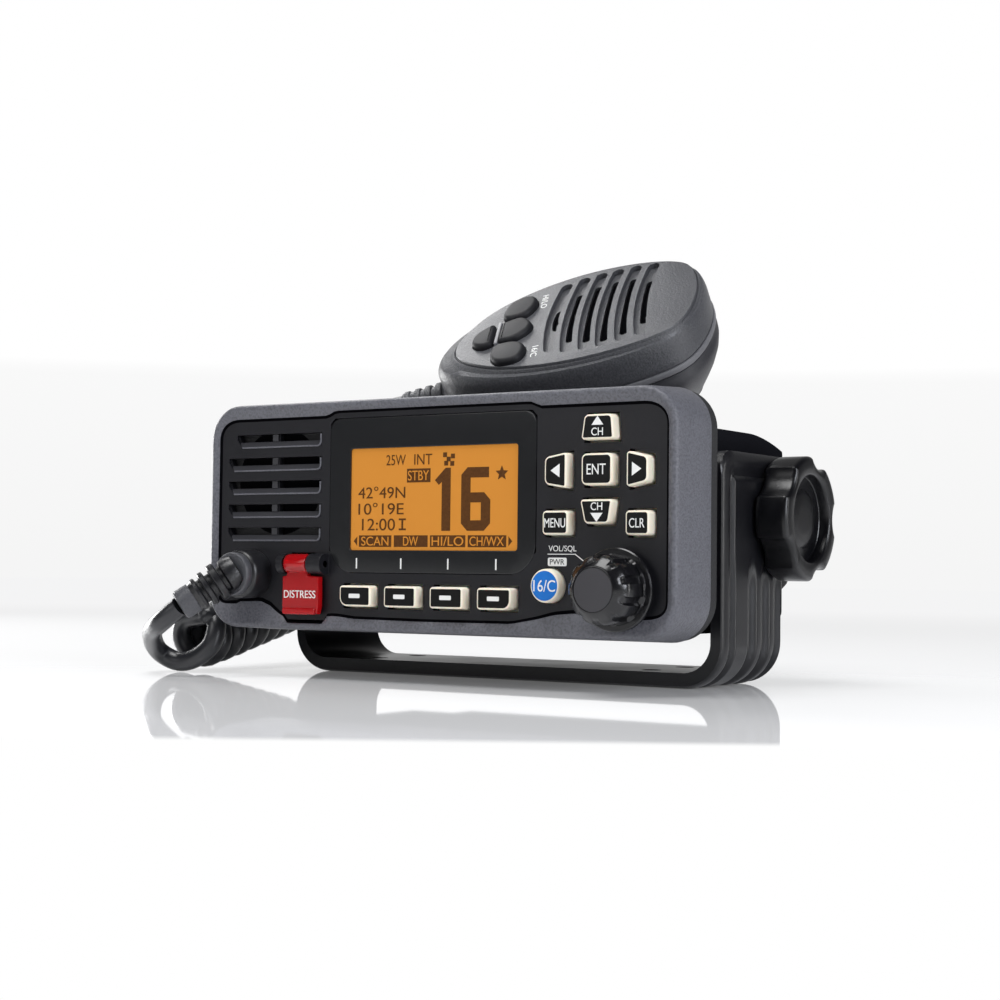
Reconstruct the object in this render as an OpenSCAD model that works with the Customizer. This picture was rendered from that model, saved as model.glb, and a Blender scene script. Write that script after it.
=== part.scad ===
// Fixed-mount marine VHF radio in its bracket, with a hand microphone on top.
// Millimetres. Everything is drawn with the front ridge of the bezel at y = 0 and the
// bottom of the bezel at z = 0, then moved so that the origin is the centre of the
// bracket's base. +y points backwards, +x to the right as seen from the front.

/* [Bezel] */
// Width of the bezel at its rear rim
bezel_w = 156.5; // [154:0.5:160]
// Height of the bezel at its rear rim
bezel_h = 66.5; // [65:0.5:70]
// Depth of the bezel from ridge to rear rim
bezel_depth = 17.6; // [17:0.1:20]
// How much the bezel narrows on each side towards its front
bezel_flare = 1; // [0.5:0.1:1.5]
// Corner radius of the bezel
bezel_corner = 11; // [9:0.5:12]
// Width of the textured border beside the panel opening
border_side = 4; // [3:0.1:4.5]
// Height of the border below the panel opening
chin_h = 4.8; // [4:0.1:5]
// Height of the border above the panel opening
brow_h = 5; // [4:0.1:5.5]
// Thickness of the bezel's side walls
bezel_wall = 2.8; // [2:0.1:3]
// Thickness of the gasket between bezel and chassis
gasket_t = 3.8; // [2:0.1:5]

/* [Front panel] */
// Depth of the panel's face behind the ridge
panel_inset = 1.3; // [1:0.1:2]
// Thickness of the panel
panel_t = 3; // [2.5:0.1:3.5]
// Length of a speaker slot
slot_len = 34.6; // [30:0.1:35]
// Open height of a speaker slot
slot_h = 2.1; // [1.5:0.1:3]
// Distance between speaker slots
slot_pitch = 6.75; // [6:0.05:6.9]
// Number of speaker slots
slot_count = 5; // [3:1:5]
// Width of the display lens
lens_w = 68.8; // [66:0.1:69]
// Height of the display lens
lens_h = 43.5; // [40:0.1:43.5]
// Thickness of the display lens
lens_t = 1.9; // [1.5:0.1:2.2]
// Width of the picture in the display
picture_w = 55.6; // [50:0.1:56]
// Height of the picture in the display
picture_h = 28.3; // [25:0.1:29]

/* [Keys] */
// How far a key stands in front of the panel
key_proud = 2.8; // [2:0.1:3.5]
// Travel of a key
key_travel = 0.8; // [0.4:0.1:1]
// Width of a soft key
soft_w = 11; // [9:0.1:12]
// Height of a soft key
soft_h = 6; // [5:0.1:7]
// Distance between soft keys
soft_pitch = 15.35; // [15:0.05:16]
// Travel of the distress button
distress_travel = 1; // [0.5:0.1:1]

/* [Volume dial] */
// Radius of the dial's body
dial_r = 8.7; // [8:0.1:9.5]
// Radius of the dial's skirt
dial_skirt_r = 10.7; // [9.5:0.1:10.9]
// Length of the dial
dial_len = 12.1; // [10:0.1:14]
// Radius of the encoder shaft
shaft_r = 3; // [2.5:0.1:3.2]
// Travel of the dial when pushed
push_travel = 0.6; // [0.3:0.1:0.8]
// Number of grip grooves on the dial
dial_grooves = 10; // [8:1:14]

/* [Chassis] */
// Width of the chassis
chassis_w = 133.6; // [133:0.2:136]
// Height of the chassis beside its lid
chassis_h = 57; // [56:0.5:58]
// Height of the raised lid above the chassis
lid_h = 5.5; // [4:0.5:5.5]
// Overall depth of the radio from ridge to fin tips
radio_depth = 110.1; // [108:0.1:120]
// Wall thickness of the chassis
chassis_wall = 2.6; // [2:0.1:3.5]
// Depth of the cooling fins
fin_depth = 8; // [5:0.5:10]
// Number of cooling fins
fin_count = 10; // [6:1:12]
// Thread radius of the antenna socket
antenna_r = 7.94; // [7.5:0.01:8]
// Length of the antenna socket's thread
antenna_len = 11; // [9:0.5:14]

/* [Bracket and clamp knobs] */
// Depth of the bracket from front to back
bracket_depth = 37.3; // [35:0.1:40]
// Thickness of the bracket's arms
arm_t = 3.7; // [3:0.1:5]
// Thickness of the bracket's base
base_t = 4.3; // [3:0.1:5]
// Height of the bezel's bottom above the surface
lift = 13.1; // [12:0.1:18]
// Outer radius of the bracket's bent corners
bend_r = 12; // [9:0.5:14]
// Depth of the flutes in the arms
flute_depth = 0.9; // [0.5:0.1:1.2]
// Radius of a screw hole in the bracket's base
screw_hole_r = 2.75; // [2:0.05:3.5]
// Distance between screw holes across the base
screw_spacing_x = 94; // [80:1:100]
// Distance between screw holes from front to back
screw_spacing_y = 20; // [15:1:24]
// Outer radius of a clamp knob
knob_r = 17.5; // [16:0.1:19]
// Thickness of a clamp knob
knob_t = 10; // [8:0.1:12]
// Number of lobes on a clamp knob
knob_lobes = 5; // [3:1:6]
// Radius of the clamp bolt
bolt_r = 3; // [2.5:0.1:3.5]
// Thickness of the friction washer inside each arm
washer_t = 2.2; // [1.5:0.1:3]

/* [Microphone] */
// Depth of the microphone's front shell
mic_front_depth = 14; // [12:0.1:15]
// Depth of the microphone's rear shell
mic_rear_depth = 19.6; // [18:0.1:19.6]
// Wall thickness of the microphone's shells
mic_wall = 2.2; // [1.8:0.1:2.6]
// Length of the openings in the microphone's grille
mic_slot_len = 40; // [20:0.5:42]
// Width of the openings in the microphone's grille
mic_slot_w = 2.4; // [1.5:0.1:3]
// Number of the microphone's grille slots
mic_slots = 6; // [3:1:6]
// Travel of the push-to-talk bar
ptt_travel = 1.5; // [0.8:0.1:2]

/* [Cord] */
// Diameter of the cord
cord_d = 5.8; // [5:0.1:5.8]
// Outer diameter of the curly part
curl_od = 18.6; // [18:0.1:18.6]
// Distance between neighbouring curls
curl_pitch = 6.85; // [6.85:0.05:7.2]

/* [Hidden] */
$fn = 48;

// The front was laid out on a bezel of 156.5 by 66.5, and grows and shrinks with it
share_x = bezel_w/156.5;
share_z = bezel_h/66.5;
function spot(p) = [share_x*p[0], share_z*p[1]];
function spots(points) = [for (p = points) spot(p)];
lens_size = spot([lens_w, lens_h]);
picture_size = spot([picture_w, picture_h]);

// Clearances
eps = 0.01;            // overlap that joins two shapes of one solid
gap = 0.3;             // between pieces that move past each other
pin_gap = 0.05;        // radial play of a pin or shaft in its bore

// Depths, counted backwards from the ridge
chassis_bottom = 1.5;
panel_front = panel_inset;
panel_back = panel_front + panel_t;
key_gap = 0.5;         // round a key in its opening, also where its sides slant
flange_t = 0.6;        // rubber flange that holds a key behind the panel
flange_lip = 0.8;
flange_front = panel_back + gap;
sheet_t = 1.2;
sheet_front = flange_front + flange_t + max(key_travel, distress_travel) + gap;
board_front = panel_back + 7.7;
board_t = 1.6;
gasket_front = bezel_depth;
chassis_front = gasket_front + gasket_t;
chassis_back = radio_depth - fin_depth;
chassis_top = chassis_bottom + chassis_h;
body_back = chassis_front + 64.6;    // rear of the full width; a narrower heat sink follows
sink_w = 0.84*chassis_w;
sink_h = 0.86*chassis_h;
cavity_back = body_back - 5;
lid_w = 0.63*chassis_w;
lid_back = body_back - 4;

// Panel opening and the panel behind it
opening_w = bezel_w - 2*border_side;
opening_h = bezel_h - chin_h - brow_h;
opening_mid = chin_h + opening_h/2;
opening_corner = 9;
panel_lap = 1.2;       // how far the panel reaches behind the opening's edge
cavity_gap = 0.4;

// Chassis and pivot
pivot_y = 70;
pivot_z = chassis_bottom + chassis_h/2 + 3.6;
flange_plate_t = 3;
flange_plate_w = share_x*148;
flange_plate_h = share_z*59;
post_x = share_x*70.4; // screw posts that join panel, board and chassis
post_z = share_z*[8, 58.2];
post_r = 2;
case_screw_r = 1.4;

// Main board and its shield
board_z = chassis_bottom + 12.5;
board_edge = [6.2, 3];     // from the chassis' inner side and back wall
shield_w = 68;
shield_y = [36, 76];
shield_h = 14;
shield_t = 0.8;

// Back of the chassis
antenna_at = [36, 36];
lead_at = [32, 13];
ground_at = [49, 24];
stand_x = 50;          // posts under the main board
stand_y = [38, 76];

// Bracket
bracket_front = 35;
bracket_mid = bracket_front + bracket_depth/2;
bracket_back = bracket_front + bracket_depth;
arm_in = chassis_w/2 + washer_t + gap;
arm_out = arm_in + arm_t;
arm_top = pivot_z + 17.6;
head_back = 82;        // rear edge of the arm behind the knob
flute_w = 2.2;
flutes = [44.4, 53.3, 61.7, 69.9];
pad_r = 12;            // flat pad under each knob
knob_back = arm_out + gap;
knob_face = knob_back + knob_t;
knob_notch_r = 6.5;
knob_notch = 1.5;      // depth of the notches between the lobes
knob_recess_r = 12;
knob_recess = 3.3;
knob_dome_r = 8.1;
bolt_reach = 7;        // how far the bolt goes into the chassis
boss_r = 6.5;

// Speaker
slot_left = share_x*-71.3;
slot_top = share_z*56.9;
slot_step = share_z*slot_pitch;
slot_open = share_z*slot_h;
slot_floor = share_z*1.6;  // slanted floor in front of each opening
slot_post = share_x*[-55.3, -52.8];
speaker_at = spot([-54, 43.4]);
speaker_r = 15.5;

// Lens and picture
lens_x = share_x*0.9;
lens_z = share_z*17.1 + lens_size[1]/2;
lens_cut = [7.7, 6];
picture_x = share_x*1.6;
picture_z = share_z*37.65;

// Front keys: name and outline, counter-clockwise as seen from the front
soft_x = -27.6;
soft_z = 7.7;
key_corner = 1.2;
function box4(x0, x1, z0, z1) = [[x0, z0], [x1, z0], [x1, z1], [x0, z1]];
function face_box(x0, x1, z0, z1) = spots(box4(x0, x1, z0, z1));
up_outline = spots([[50.1, 51.9], [60.1, 51.9], [59.5, 58.6], [51.1, 58.6]]);
down_outline = spots([[51.4, 30.3], [58.7, 30.3], [59.8, 36.8], [49.9, 36.8]]);
left_outline = spots([[39.2, 40.6], [46.1, 39.5], [46.1, 49.1], [39.2, 47.9]]);
right_outline = spots([[63.5, 39.5], [70, 40.9], [70, 47.6], [63.5, 49.1]]);
enter_outline = face_box(50.3, 59.6, 40.2, 48.6);
menu_outline = face_box(38.7, 46.7, 27.5, 34);
clear_outline = face_box(63.3, 70.4, 27.4, 33.9);
key16_at = spot([39.7, 14.4]);
key16_r = 4.5;
keypad_right = [share_x*34, share_x*72.2, share_z*22, share_z*61];
keypad_strip = [share_x*-31, share_x*47, share_z*4.9, share_z*18.9];

// Dial
dial_at = spot([60.8, 13.7]);
dial_back = -0.9;
dial_skirt_t = 1.3;
dial_front = dial_back - dial_len;
cap_r = 5.6;
cap_t = 0.6;
encoder_size = 13;
encoder_front = board_front - 6;
shaft_end = board_front - 1.2;

// Distress flap and button
flap_x = share_x*[-48.2, -35];
flap_z = share_z*[5.1, 16.3];
flap_y = [-1.6, 0.6];
hinge_at = [-0.4, share_z*19.5];
hinge_r = 2.9;
barrel_x = share_x*[-46.9, -38.8];
knuckle_x = share_x*[-49.4, -33.5];
flap_pin_r = 1;
distress_outline = face_box(-46, -37.5, 7, 14);

// Gland for the microphone cord
gland_at = spot([-61.5, 16.4]);
gland_r = 7;
gland_front = -6;
nut_r = 6.2;
nut_t = 2.5;
boot_dir = [-0.60, -0.57, -0.55];
boot_len = 17;
boot_from = [gland_at[0], gland_front - nut_t, gland_at[1]];
boot_rings = 4;

// Microphone, drawn flat in its own frame: x along its length, z out of its face
mic_at = [-0.35, bracket_mid + 17.53, chassis_bottom + chassis_h + lid_h + 31.2];
mic_turn = [36.9, -11.01, 16.15];
mic_seam = -mic_front_depth;
mic_rear = mic_seam - mic_rear_depth;
mic_tip = [-24, -4, 16];           // x, y and radius of the narrow end
mic_ends = [[24.5, 0, 20.5], [18, 7.5, 20.5], [18, -7.5, 20.5], [2, 10, 19], [2, -10, 19], [-13, 4, 18.5],
  [-13, -6, 18.5]];
mic_floor = [[24, 0, 13], [20, 8, 13], [-6, 5, 9], [-6, 12, 10]];
mic_round = 4;                     // rounding of the front edge
mic_slot_x = 13;
mic_slot_pitch = 5.64;
mic_slot_y = -1;
mic_key_proud = 1.4;
mic_flange_lip = 0.5;
mic_screw_at = [[31, -6], [27, 13], [-5, 16]];
mic_screw_r = 1.2;
mic_boss_r = 2.6;
mic_board_back = mic_seam + 0.4;
mic_board_t = 1.6;
mic_board_x = [-24, 24];
mic_board_y = [-13, 11];
power_outline = [[-19, 6.2], [-9.8, 6.2], [-9.2, 17.4], [-17.8, 17.4]];
mic_down_outline = box4(-27.6, -20.8, -9.2, 3.2);
mic_up_outline = box4(-18.8, -8.8, -8.5, 4.2);
mic16_outline = [[-18.9, -20], [-10.6, -21], [-9.9, -11.4], [-19.9, -11.2]];
ptt_x = [0, 26];
ptt_y = [25.5, 31];
ptt_z = [-20, -9];
ptt_mid = 13;
stud_at = [10, 5];
stud_r = 7;
stud_tip = -39;
mic_boot_at = [-38, -4, -15];
mic_boot_len = 18;
mic_boot_r = 4.6;

// ---- Shapes that repeat ----

// Rounded rectangle about the origin
module rounded(w, h, r) {
  square([w - 2*r, h], center = true);
  square([w, h - 2*r], center = true);
  for (x = [-1, 1], y = [-1, 1]) translate([x*(w/2 - r), y*(h/2 - r)]) circle(r);
}

// Stands an outline in x and z up between two depths
module standing(y0, y1) {
  translate([0, y1, 0]) rotate([90, 0, 0]) linear_extrude(y1 - y0) children();
}

// Runs an outline in y and z across between two x places
module across(x0, x1) {
  translate([x0, 0, 0]) rotate([90, 0, 90]) linear_extrude(x1 - x0) children();
}

module y_rod(at, y0, y1, r) {
  translate([at[0], y1, at[1]]) rotate([90, 0, 0]) cylinder(h = y1 - y0, r = r);
}

module x_rod(x0, x1, at, r) {
  translate([x0, at[0], at[1]]) rotate([0, 90, 0]) cylinder(h = x1 - x0, r = r);
}

module block(x, y, z) {
  translate([x[0], y[0], z[0]]) cube([x[1] - x[0], y[1] - y[0], z[1] - z[0]]);
}

// Outline with round corners through four points; grow moves its edge outwards
module soft_outline(points, grow = 0) {
  middle = (points[0] + points[1] + points[2] + points[3])/4;
  hull() for (p = points) {
    inward = [sign(middle[0] - p[0]), sign(middle[1] - p[1])];
    translate(p + key_corner*inward) circle(key_corner + grow, $fn = 24);
  }
}

// A key in the front panel, with the flange that holds it behind the panel
module front_key(points, face = panel_front - key_proud) {
  standing(face, flange_front + eps) soft_outline(points);
  standing(flange_front, flange_front + flange_t) soft_outline(points, flange_lip);
}

// Opening for a key: its outline moved out, with square corners
module opening_outline(points, grow = key_gap) {
  middle = (points[0] + points[1] + points[2] + points[3])/4;
  polygon([for (p = points) p + grow*[sign(p[0] - middle[0]), sign(p[1] - middle[1])]]);
}

module key_opening(points) {
  standing(panel_front - 1, panel_back + 1) opening_outline(points);
}

// Pieces of both sides are drawn on the right and mirrored to the left
module on_side(side) {
  if (side > 0) children();
  else mirror([1, 0, 0]) children();
}

// ---- Bracket and clamps ----

module u_outline(half_w, bottom, top, r) {
  translate([-half_w, bottom + r]) square([2*half_w, top - bottom - r]);
  translate([r - half_w, bottom]) square([2*(half_w - r), r + eps]);
  for (s = [-1, 1]) translate([s*(half_w - r), bottom + r]) circle(r);
}

module arm_profile() {
  shoulder = 15.4;
  polygon([[bracket_front, -lift - 1], [bracket_back, -lift - 1], [bracket_back, shoulder - 1.6],
    [bracket_back + 3.5, shoulder], [head_back, 22], [head_back, arm_top - 6], [head_back - 6, arm_top],
    [bracket_front + 5.5, arm_top], [bracket_front + 2.4, arm_top - 1], [bracket_front + 0.7, arm_top - 2.9],
    [bracket_front, arm_top - 5.4]]);
}

module bracket() {
  base_top = base_t - lift;
  inner_r = bend_r - arm_t;
  color("#17181a") difference() {
    union() {
      difference() {
        intersection() {
          standing(bracket_front, head_back) u_outline(arm_out, -lift, arm_top + 1, bend_r);
          across(-arm_out, arm_out) arm_profile();
        }
        standing(bracket_front - 1, head_back + 1) u_outline(arm_in, base_top, arm_top + 2, inner_r);
        for (y = flutes, s = [-1, 1]) intersection() {
          standing(y - flute_w/2, y + flute_w/2) difference() {
            translate([-arm_out - 1, -lift - 1]) square([2*arm_out + 2, arm_top + lift + 3]);
            u_outline(arm_out - flute_depth, flute_depth - lift, arm_top + 4, bend_r - flute_depth);
          }
          translate([s*arm_out, y, arm_top/2]) cube([2*bend_r, 10, arm_top + 3*lift], center = true);
        }
      }
      for (s = [-1, 1]) on_side(s) x_rod(arm_out - arm_t/2, arm_out, [pivot_y, pivot_z], pad_r);
    }
    for (s = [-1, 1]) on_side(s)
      x_rod(arm_in - 1, arm_out + 1, [pivot_y, pivot_z], bolt_r + pin_gap);
    for (x = [-1, 1], y = [-1, 1])
      translate([x*screw_spacing_x/2, bracket_mid + y*screw_spacing_y/2, -lift - 1])
        cylinder(h = base_t + 2, r = screw_hole_r);
  }
}

module friction_washers() {
  color("#2b2b2c") for (s = [-1, 1]) on_side(s) difference() {
    x_rod(chassis_w/2, chassis_w/2 + washer_t, [pivot_y, pivot_z], pad_r);
    x_rod(chassis_w/2 - 1, arm_out, [pivot_y, pivot_z], bolt_r + gap);
  }
}

module clamp_bolt(side) {
  color("silver") on_side(side) {
    x_rod(chassis_w/2 - bolt_reach, knob_back + knob_t/2, [pivot_y, pivot_z], bolt_r);
    translate([knob_back + 1, pivot_y, pivot_z]) rotate([0, 90, 0]) cylinder(h = 4, r = 5, $fn = 6);
  }
}

module clamp_knob(side) {
  turn = 360/knob_lobes;
  notch_at = knob_r + knob_notch_r - knob_notch;
  color("#141517") on_side(side) translate([knob_back, pivot_y, pivot_z]) rotate([0, 90, 0]) {
    difference() {
      rotate_extrude($fn = 96) polygon([[0, 0], [knob_r - 1.5, 0], [knob_r, 1.5],
        [knob_r, knob_t - 1.5], [knob_r - 1.5, knob_t], [0, knob_t]]);
      for (i = [0 : knob_lobes - 1]) rotate([0, 0, (i + 0.5)*turn]) translate([0, -notch_at, -1])
        cylinder(h = knob_t + 2, r = knob_notch_r);
      translate([0, 0, knob_t - knob_recess]) cylinder(h = knob_recess + 1, r = knob_recess_r);
      translate([0, 0, -1]) cylinder(h = knob_t/2 + 1, r = bolt_r);
      translate([0, 0, 1]) cylinder(h = 4, r = 5, $fn = 6);
    }
    translate([0, 0, knob_t - knob_recess - eps]) cylinder(h = 0.8, r = knob_dome_r);
  }
}

// ---- Front of the radio ----

module bezel() {
  cavity_w = bezel_w - 2*bezel_wall;
  cavity_h = bezel_h - 2*bezel_wall + 0.4;
  color("#3a3c42") difference() {
    translate([0, 0, bezel_h/2]) hull() {
      standing(0, eps) rounded(bezel_w - 2*bezel_flare, bezel_h - 2*bezel_flare,
        bezel_corner - bezel_flare, $fn = 48);
      standing(bezel_depth - 2, bezel_depth) rounded(bezel_w, bezel_h, bezel_corner, $fn = 48);
    }
    translate([0, 0, opening_mid]) standing(-1, bezel_depth + 1)
      rounded(opening_w, opening_h, opening_corner);
    translate([0, 0, bezel_h/2]) standing(panel_front, bezel_depth + 1)
      rounded(cavity_w, cavity_h, opening_corner);
    standing(-1, panel_front + eps) polygon([[flap_x[0] - 0.3, chin_h + 1], [flap_x[0] + 1, chin_h - 2.1],
      [flap_x[1] - 1, chin_h - 2.1], [flap_x[1] + 0.3, chin_h + 1]]);
  }
}

module slot_outline(x0, x1, z1) {
  slant = 0.9;
  polygon([[x0 + slant, z1 - slot_open], [x1, z1 - slot_open], [x1, z1], [x0, z1]]);
}

module speaker_slots() {
  for (i = [0 : slot_count - 1]) {
    z = slot_top - i*slot_step;
    x = slot_left + (i == 0 ? 3 : 0);
    right = slot_left + share_x*slot_len;
    standing(panel_front - 1, panel_back + 1) {
      slot_outline(x, slot_post[0], z);
      polygon([[slot_post[1], z - slot_open], [right, z - slot_open], [right, z], [slot_post[1], z]]);
    }
    standing(panel_front - 1, panel_front + 1) translate([x, z - slot_open - slot_floor])
      square([right - x, slot_open + slot_floor]);
  }
}

module lens_outline(grow = 0) {
  w = lens_size[0]/2 + grow;
  h = lens_size[1]/2 + grow;
  polygon([[lens_cut[0] - w, -h], [w - lens_cut[0], -h], [w, lens_cut[1] - h], [w, h - 1.5],
    [w - 1.5, h], [1.5 - w, h], [-w, h - 1.5], [-w, lens_cut[1] - h]]);
}

module front_panel() {
  w = opening_w + 2*panel_lap;
  h = opening_h + 2*panel_lap;
  color("#26282c") difference() {
    union() {
      translate([0, 0, opening_mid]) standing(panel_front, panel_back) rounded(w, h, opening_corner);
      for (x = [-post_x, post_x], z = post_z) y_rod([x, z], panel_back - eps, board_front, post_r);
      for (x = [[knuckle_x[0], barrel_x[0] - gap], [barrel_x[1] + gap, knuckle_x[1]]]) {
        x_rod(x[0], x[1], hinge_at, hinge_r);
        block(x, [hinge_at[0], panel_back], [hinge_at[1] - hinge_r, hinge_at[1] + hinge_r]);
      }
    }
    speaker_slots();
    translate([lens_x, 0, lens_z]) standing(panel_front - 1, panel_front + lens_t - 0.3) lens_outline();
    translate([picture_x, 0, picture_z]) standing(0, panel_back + 1)
      square([picture_size[0] + 2, picture_size[1] + 2], center = true);
    for (i = [0 : 3]) key_opening(soft_points(i));
    for (k = [up_outline, down_outline, left_outline, right_outline, enter_outline, menu_outline,
      clear_outline, distress_outline]) key_opening(k);
    y_rod(key16_at, panel_front - 1, panel_back + 1, key16_r + gap);
    y_rod(dial_at, panel_front - 1, panel_back + 1, shaft_r + 0.5);
    y_rod(gland_at, panel_front - 1, panel_back + 1, gland_r - 2);
    block([barrel_x[0] - gap, barrel_x[1] + gap], [-5, panel_back + 1],
      [hinge_at[1] - hinge_r - gap, hinge_at[1] + hinge_r + gap]);
    x_rod(knuckle_x[0] + 0.5, knuckle_x[1] - 0.5, hinge_at, flap_pin_r);
    for (x = [-post_x, post_x], z = post_z) y_rod([x, z], panel_back + 1, board_front + 1, case_screw_r);
  }
}

module front_gasket() {
  color("#0c0c0d") translate([0, 0, bezel_h/2]) standing(gasket_front, chassis_front) difference() {
    rounded(bezel_w - 0.6, bezel_h - 0.6, bezel_corner);
    rounded(2*post_x + 5, bezel_h - 12, 4);
  }
}

module lens() {
  color("#08090b") translate([lens_x, 0, lens_z])
    standing(panel_front - 0.3, panel_front + lens_t - 0.3) lens_outline(-0.1);
}

module display_module() {
  color("#c8822d") translate([picture_x, 0, picture_z]) {
    standing(panel_back, panel_back + 4.5) rounded(picture_size[0] + 6.6, picture_size[1] + 7.5, 1);
    standing(panel_front + lens_t - 0.2, panel_back + eps)
      square([picture_size[0] + 1.6, picture_size[1] + 1.6], center = true);
  }
}

module sheet_outline(inset) {
  for (b = [keypad_right, keypad_strip]) translate([b[0] + inset, b[2] + inset])
    square([b[1] - b[0] - 2*inset, b[3] - b[2] - 2*inset]);
  translate([keypad_right[0] + inset, keypad_strip[3] - 5])
    square([keypad_strip[1] - keypad_right[0] - 2*inset, keypad_right[2] - keypad_strip[3] + 10]);
}

module keypad_sheet() {
  rim = 1;
  color("ivory") difference() {
    standing(panel_back, sheet_front + sheet_t) sheet_outline(0);
    standing(panel_back - 1, sheet_front) sheet_outline(rim);
    y_rod([post_x, post_z[1]], 0, board_front, post_r + 0.4);
  }
}

module logic_board() {
  board_w = 2*post_x + 4;
  color("darkgreen") difference() {
    standing(board_front, board_front + board_t) translate([-board_w/2, chin_h + 0.2])
      square([board_w, opening_h - 0.7]);
    y_rod(speaker_at, 0, 20, speaker_r + 1);
    for (x = [-post_x, post_x], z = post_z) y_rod([x, z], 0, 20, case_screw_r + 0.2);
  }
}

module speaker() {
  color("#444444") {
    y_rod(speaker_at, panel_back, panel_back + 3, speaker_r);
    translate([speaker_at[0], panel_back + 3 - eps, speaker_at[1]]) rotate([-90, 0, 0])
      cylinder(h = 5, r1 = speaker_r - 2, r2 = 9);
    y_rod(speaker_at, panel_back + 8 - 2*eps, panel_back + 13, 9);
  }
}

// ---- Keys, dial and distress flap ----

function soft_points(i) =
  face_box(soft_x + i*soft_pitch, soft_x + i*soft_pitch + soft_w, soft_z, soft_z + soft_h);

module plain_key(points) {
  color("#1c1c1e") front_key(points);
}

module key_16() {
  color("#0a6ec8") {
    y_rod(key16_at, panel_front - key_proud, flange_front + eps, key16_r);
    y_rod(key16_at, flange_front, flange_front + flange_t, key16_r + flange_lip);
  }
}

module encoder_body() {
  color("#888888") difference() {
    translate([dial_at[0], (encoder_front + board_front)/2, dial_at[1]])
      cube([encoder_size, board_front - encoder_front, encoder_size], center = true);
    y_rod(dial_at, encoder_front - 1, shaft_end + push_travel + gap, shaft_r + pin_gap);
  }
}

module encoder_shaft() {
  color("silver") y_rod(dial_at, dial_front + 3.5, shaft_end, shaft_r);
}

module volume_dial() {
  bevel = 1.5;
  rim = dial_r - 1.9;
  body = dial_len - dial_skirt_t;
  groove_r = 1.6;
  color("#0f1012") translate([dial_at[0], dial_back, dial_at[1]]) rotate([90, 0, 0]) difference() {
    rotate_extrude($fn = 96) polygon([[0, 0], [dial_skirt_r, 0], [dial_skirt_r, dial_skirt_t],
      [dial_r + 0.3, dial_skirt_t + 0.6], [dial_r, body - bevel], [rim, dial_len - 0.4],
      [cap_r + 0.3, dial_len], [0, dial_len]]);
    for (i = [0 : dial_grooves - 1]) rotate([0, 0, i*360/dial_grooves])
      translate([dial_r + 0.9, 0, dial_skirt_t + 0.6]) cylinder(h = dial_len, r = groove_r, $fn = 24);
    translate([0, 0, dial_len - cap_t]) cylinder(h = cap_t + 1, r = cap_r);
    translate([0, 0, -1]) cylinder(h = dial_len - 2.5, r = shaft_r + pin_gap);
  }
}

module dial_cap() {
  color("#2c2e33") y_rod(dial_at, dial_front, dial_front + cap_t, cap_r);
}

module distress_flap() {
  neck = [hinge_at[1] - hinge_r, flap_z[1]];
  color("#d01818", 0.6) difference() {
    union() {
      x_rod(barrel_x[0], barrel_x[1], hinge_at, hinge_r - 0.1);
      block(flap_x, flap_y, [flap_z[0], flap_z[1] - gap]);
      block([barrel_x[0] + 0.5, barrel_x[1] - 0.5], flap_y, [neck[1] - 1, neck[0] + 1.5]);
      block([flap_x[0] + 1, flap_x[1] - 1], [flap_y[0] - 0.8, flap_y[0] + eps],
        [flap_z[0], flap_z[0] + 1.6]);
    }
    x_rod(barrel_x[0] - 1, barrel_x[1] + 1, hinge_at, flap_pin_r + pin_gap);
  }
}

module flap_pin() {
  color("silver") x_rod(knuckle_x[0] + 0.5, knuckle_x[1] - 0.5, hinge_at, flap_pin_r);
}

module distress_button() {
  color("#c01010") front_key(distress_outline, panel_front - 0.3);
}

// ---- Gland and strain relief of the microphone cord ----

module gland_boss() {
  color("#0e0e0f") {
    y_rod(gland_at, gland_front, panel_front, gland_r);
    y_rod(gland_at, panel_front - eps, panel_back, gland_r - 2);
  }
}

module gland_nut() {
  color("#33353a") y_rod(gland_at, gland_front - nut_t, gland_front, nut_r);
}

// Turns +z to a direction
module aim(direction) {
  turn = atan2(direction[1], direction[0]);
  tip = acos(direction[2]/norm(direction));
  rotate([0, tip, turn]) children();
}

module strain_relief() {
  core_r = 3.6;
  ring_t = 2;
  ring_step = boot_len/(boot_rings + 0.4);
  color("#1b1c1f") intersection() {
    translate(boot_from) {
      sphere(nut_r - 1);
      aim(boot_dir) {
        cylinder(h = boot_len, r = core_r);
        for (i = [1 : boot_rings]) translate([0, 0, i*ring_step - ring_t/2])
          cylinder(h = ring_t, r = 5.6 - 0.3*i);
        translate([0, 0, boot_len - 3.4]) cylinder(h = 3.4, r = 4.3);
      }
    }
    translate([boot_from[0] - 50, boot_from[1] - 50, boot_from[2] - 50]) cube([100, 50, 100]);
  }
}

// ---- Chassis ----

// Side view of the full-width part: its rear edges are chamfered
module body_profile() {
  bevel = 4.8;
  polygon([[chassis_front, chassis_bottom], [body_back - bevel, chassis_bottom],
    [body_back, chassis_bottom + bevel], [body_back, chassis_top - bevel],
    [body_back - 2.6*bevel, chassis_top], [chassis_front, chassis_top]]);
}

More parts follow.
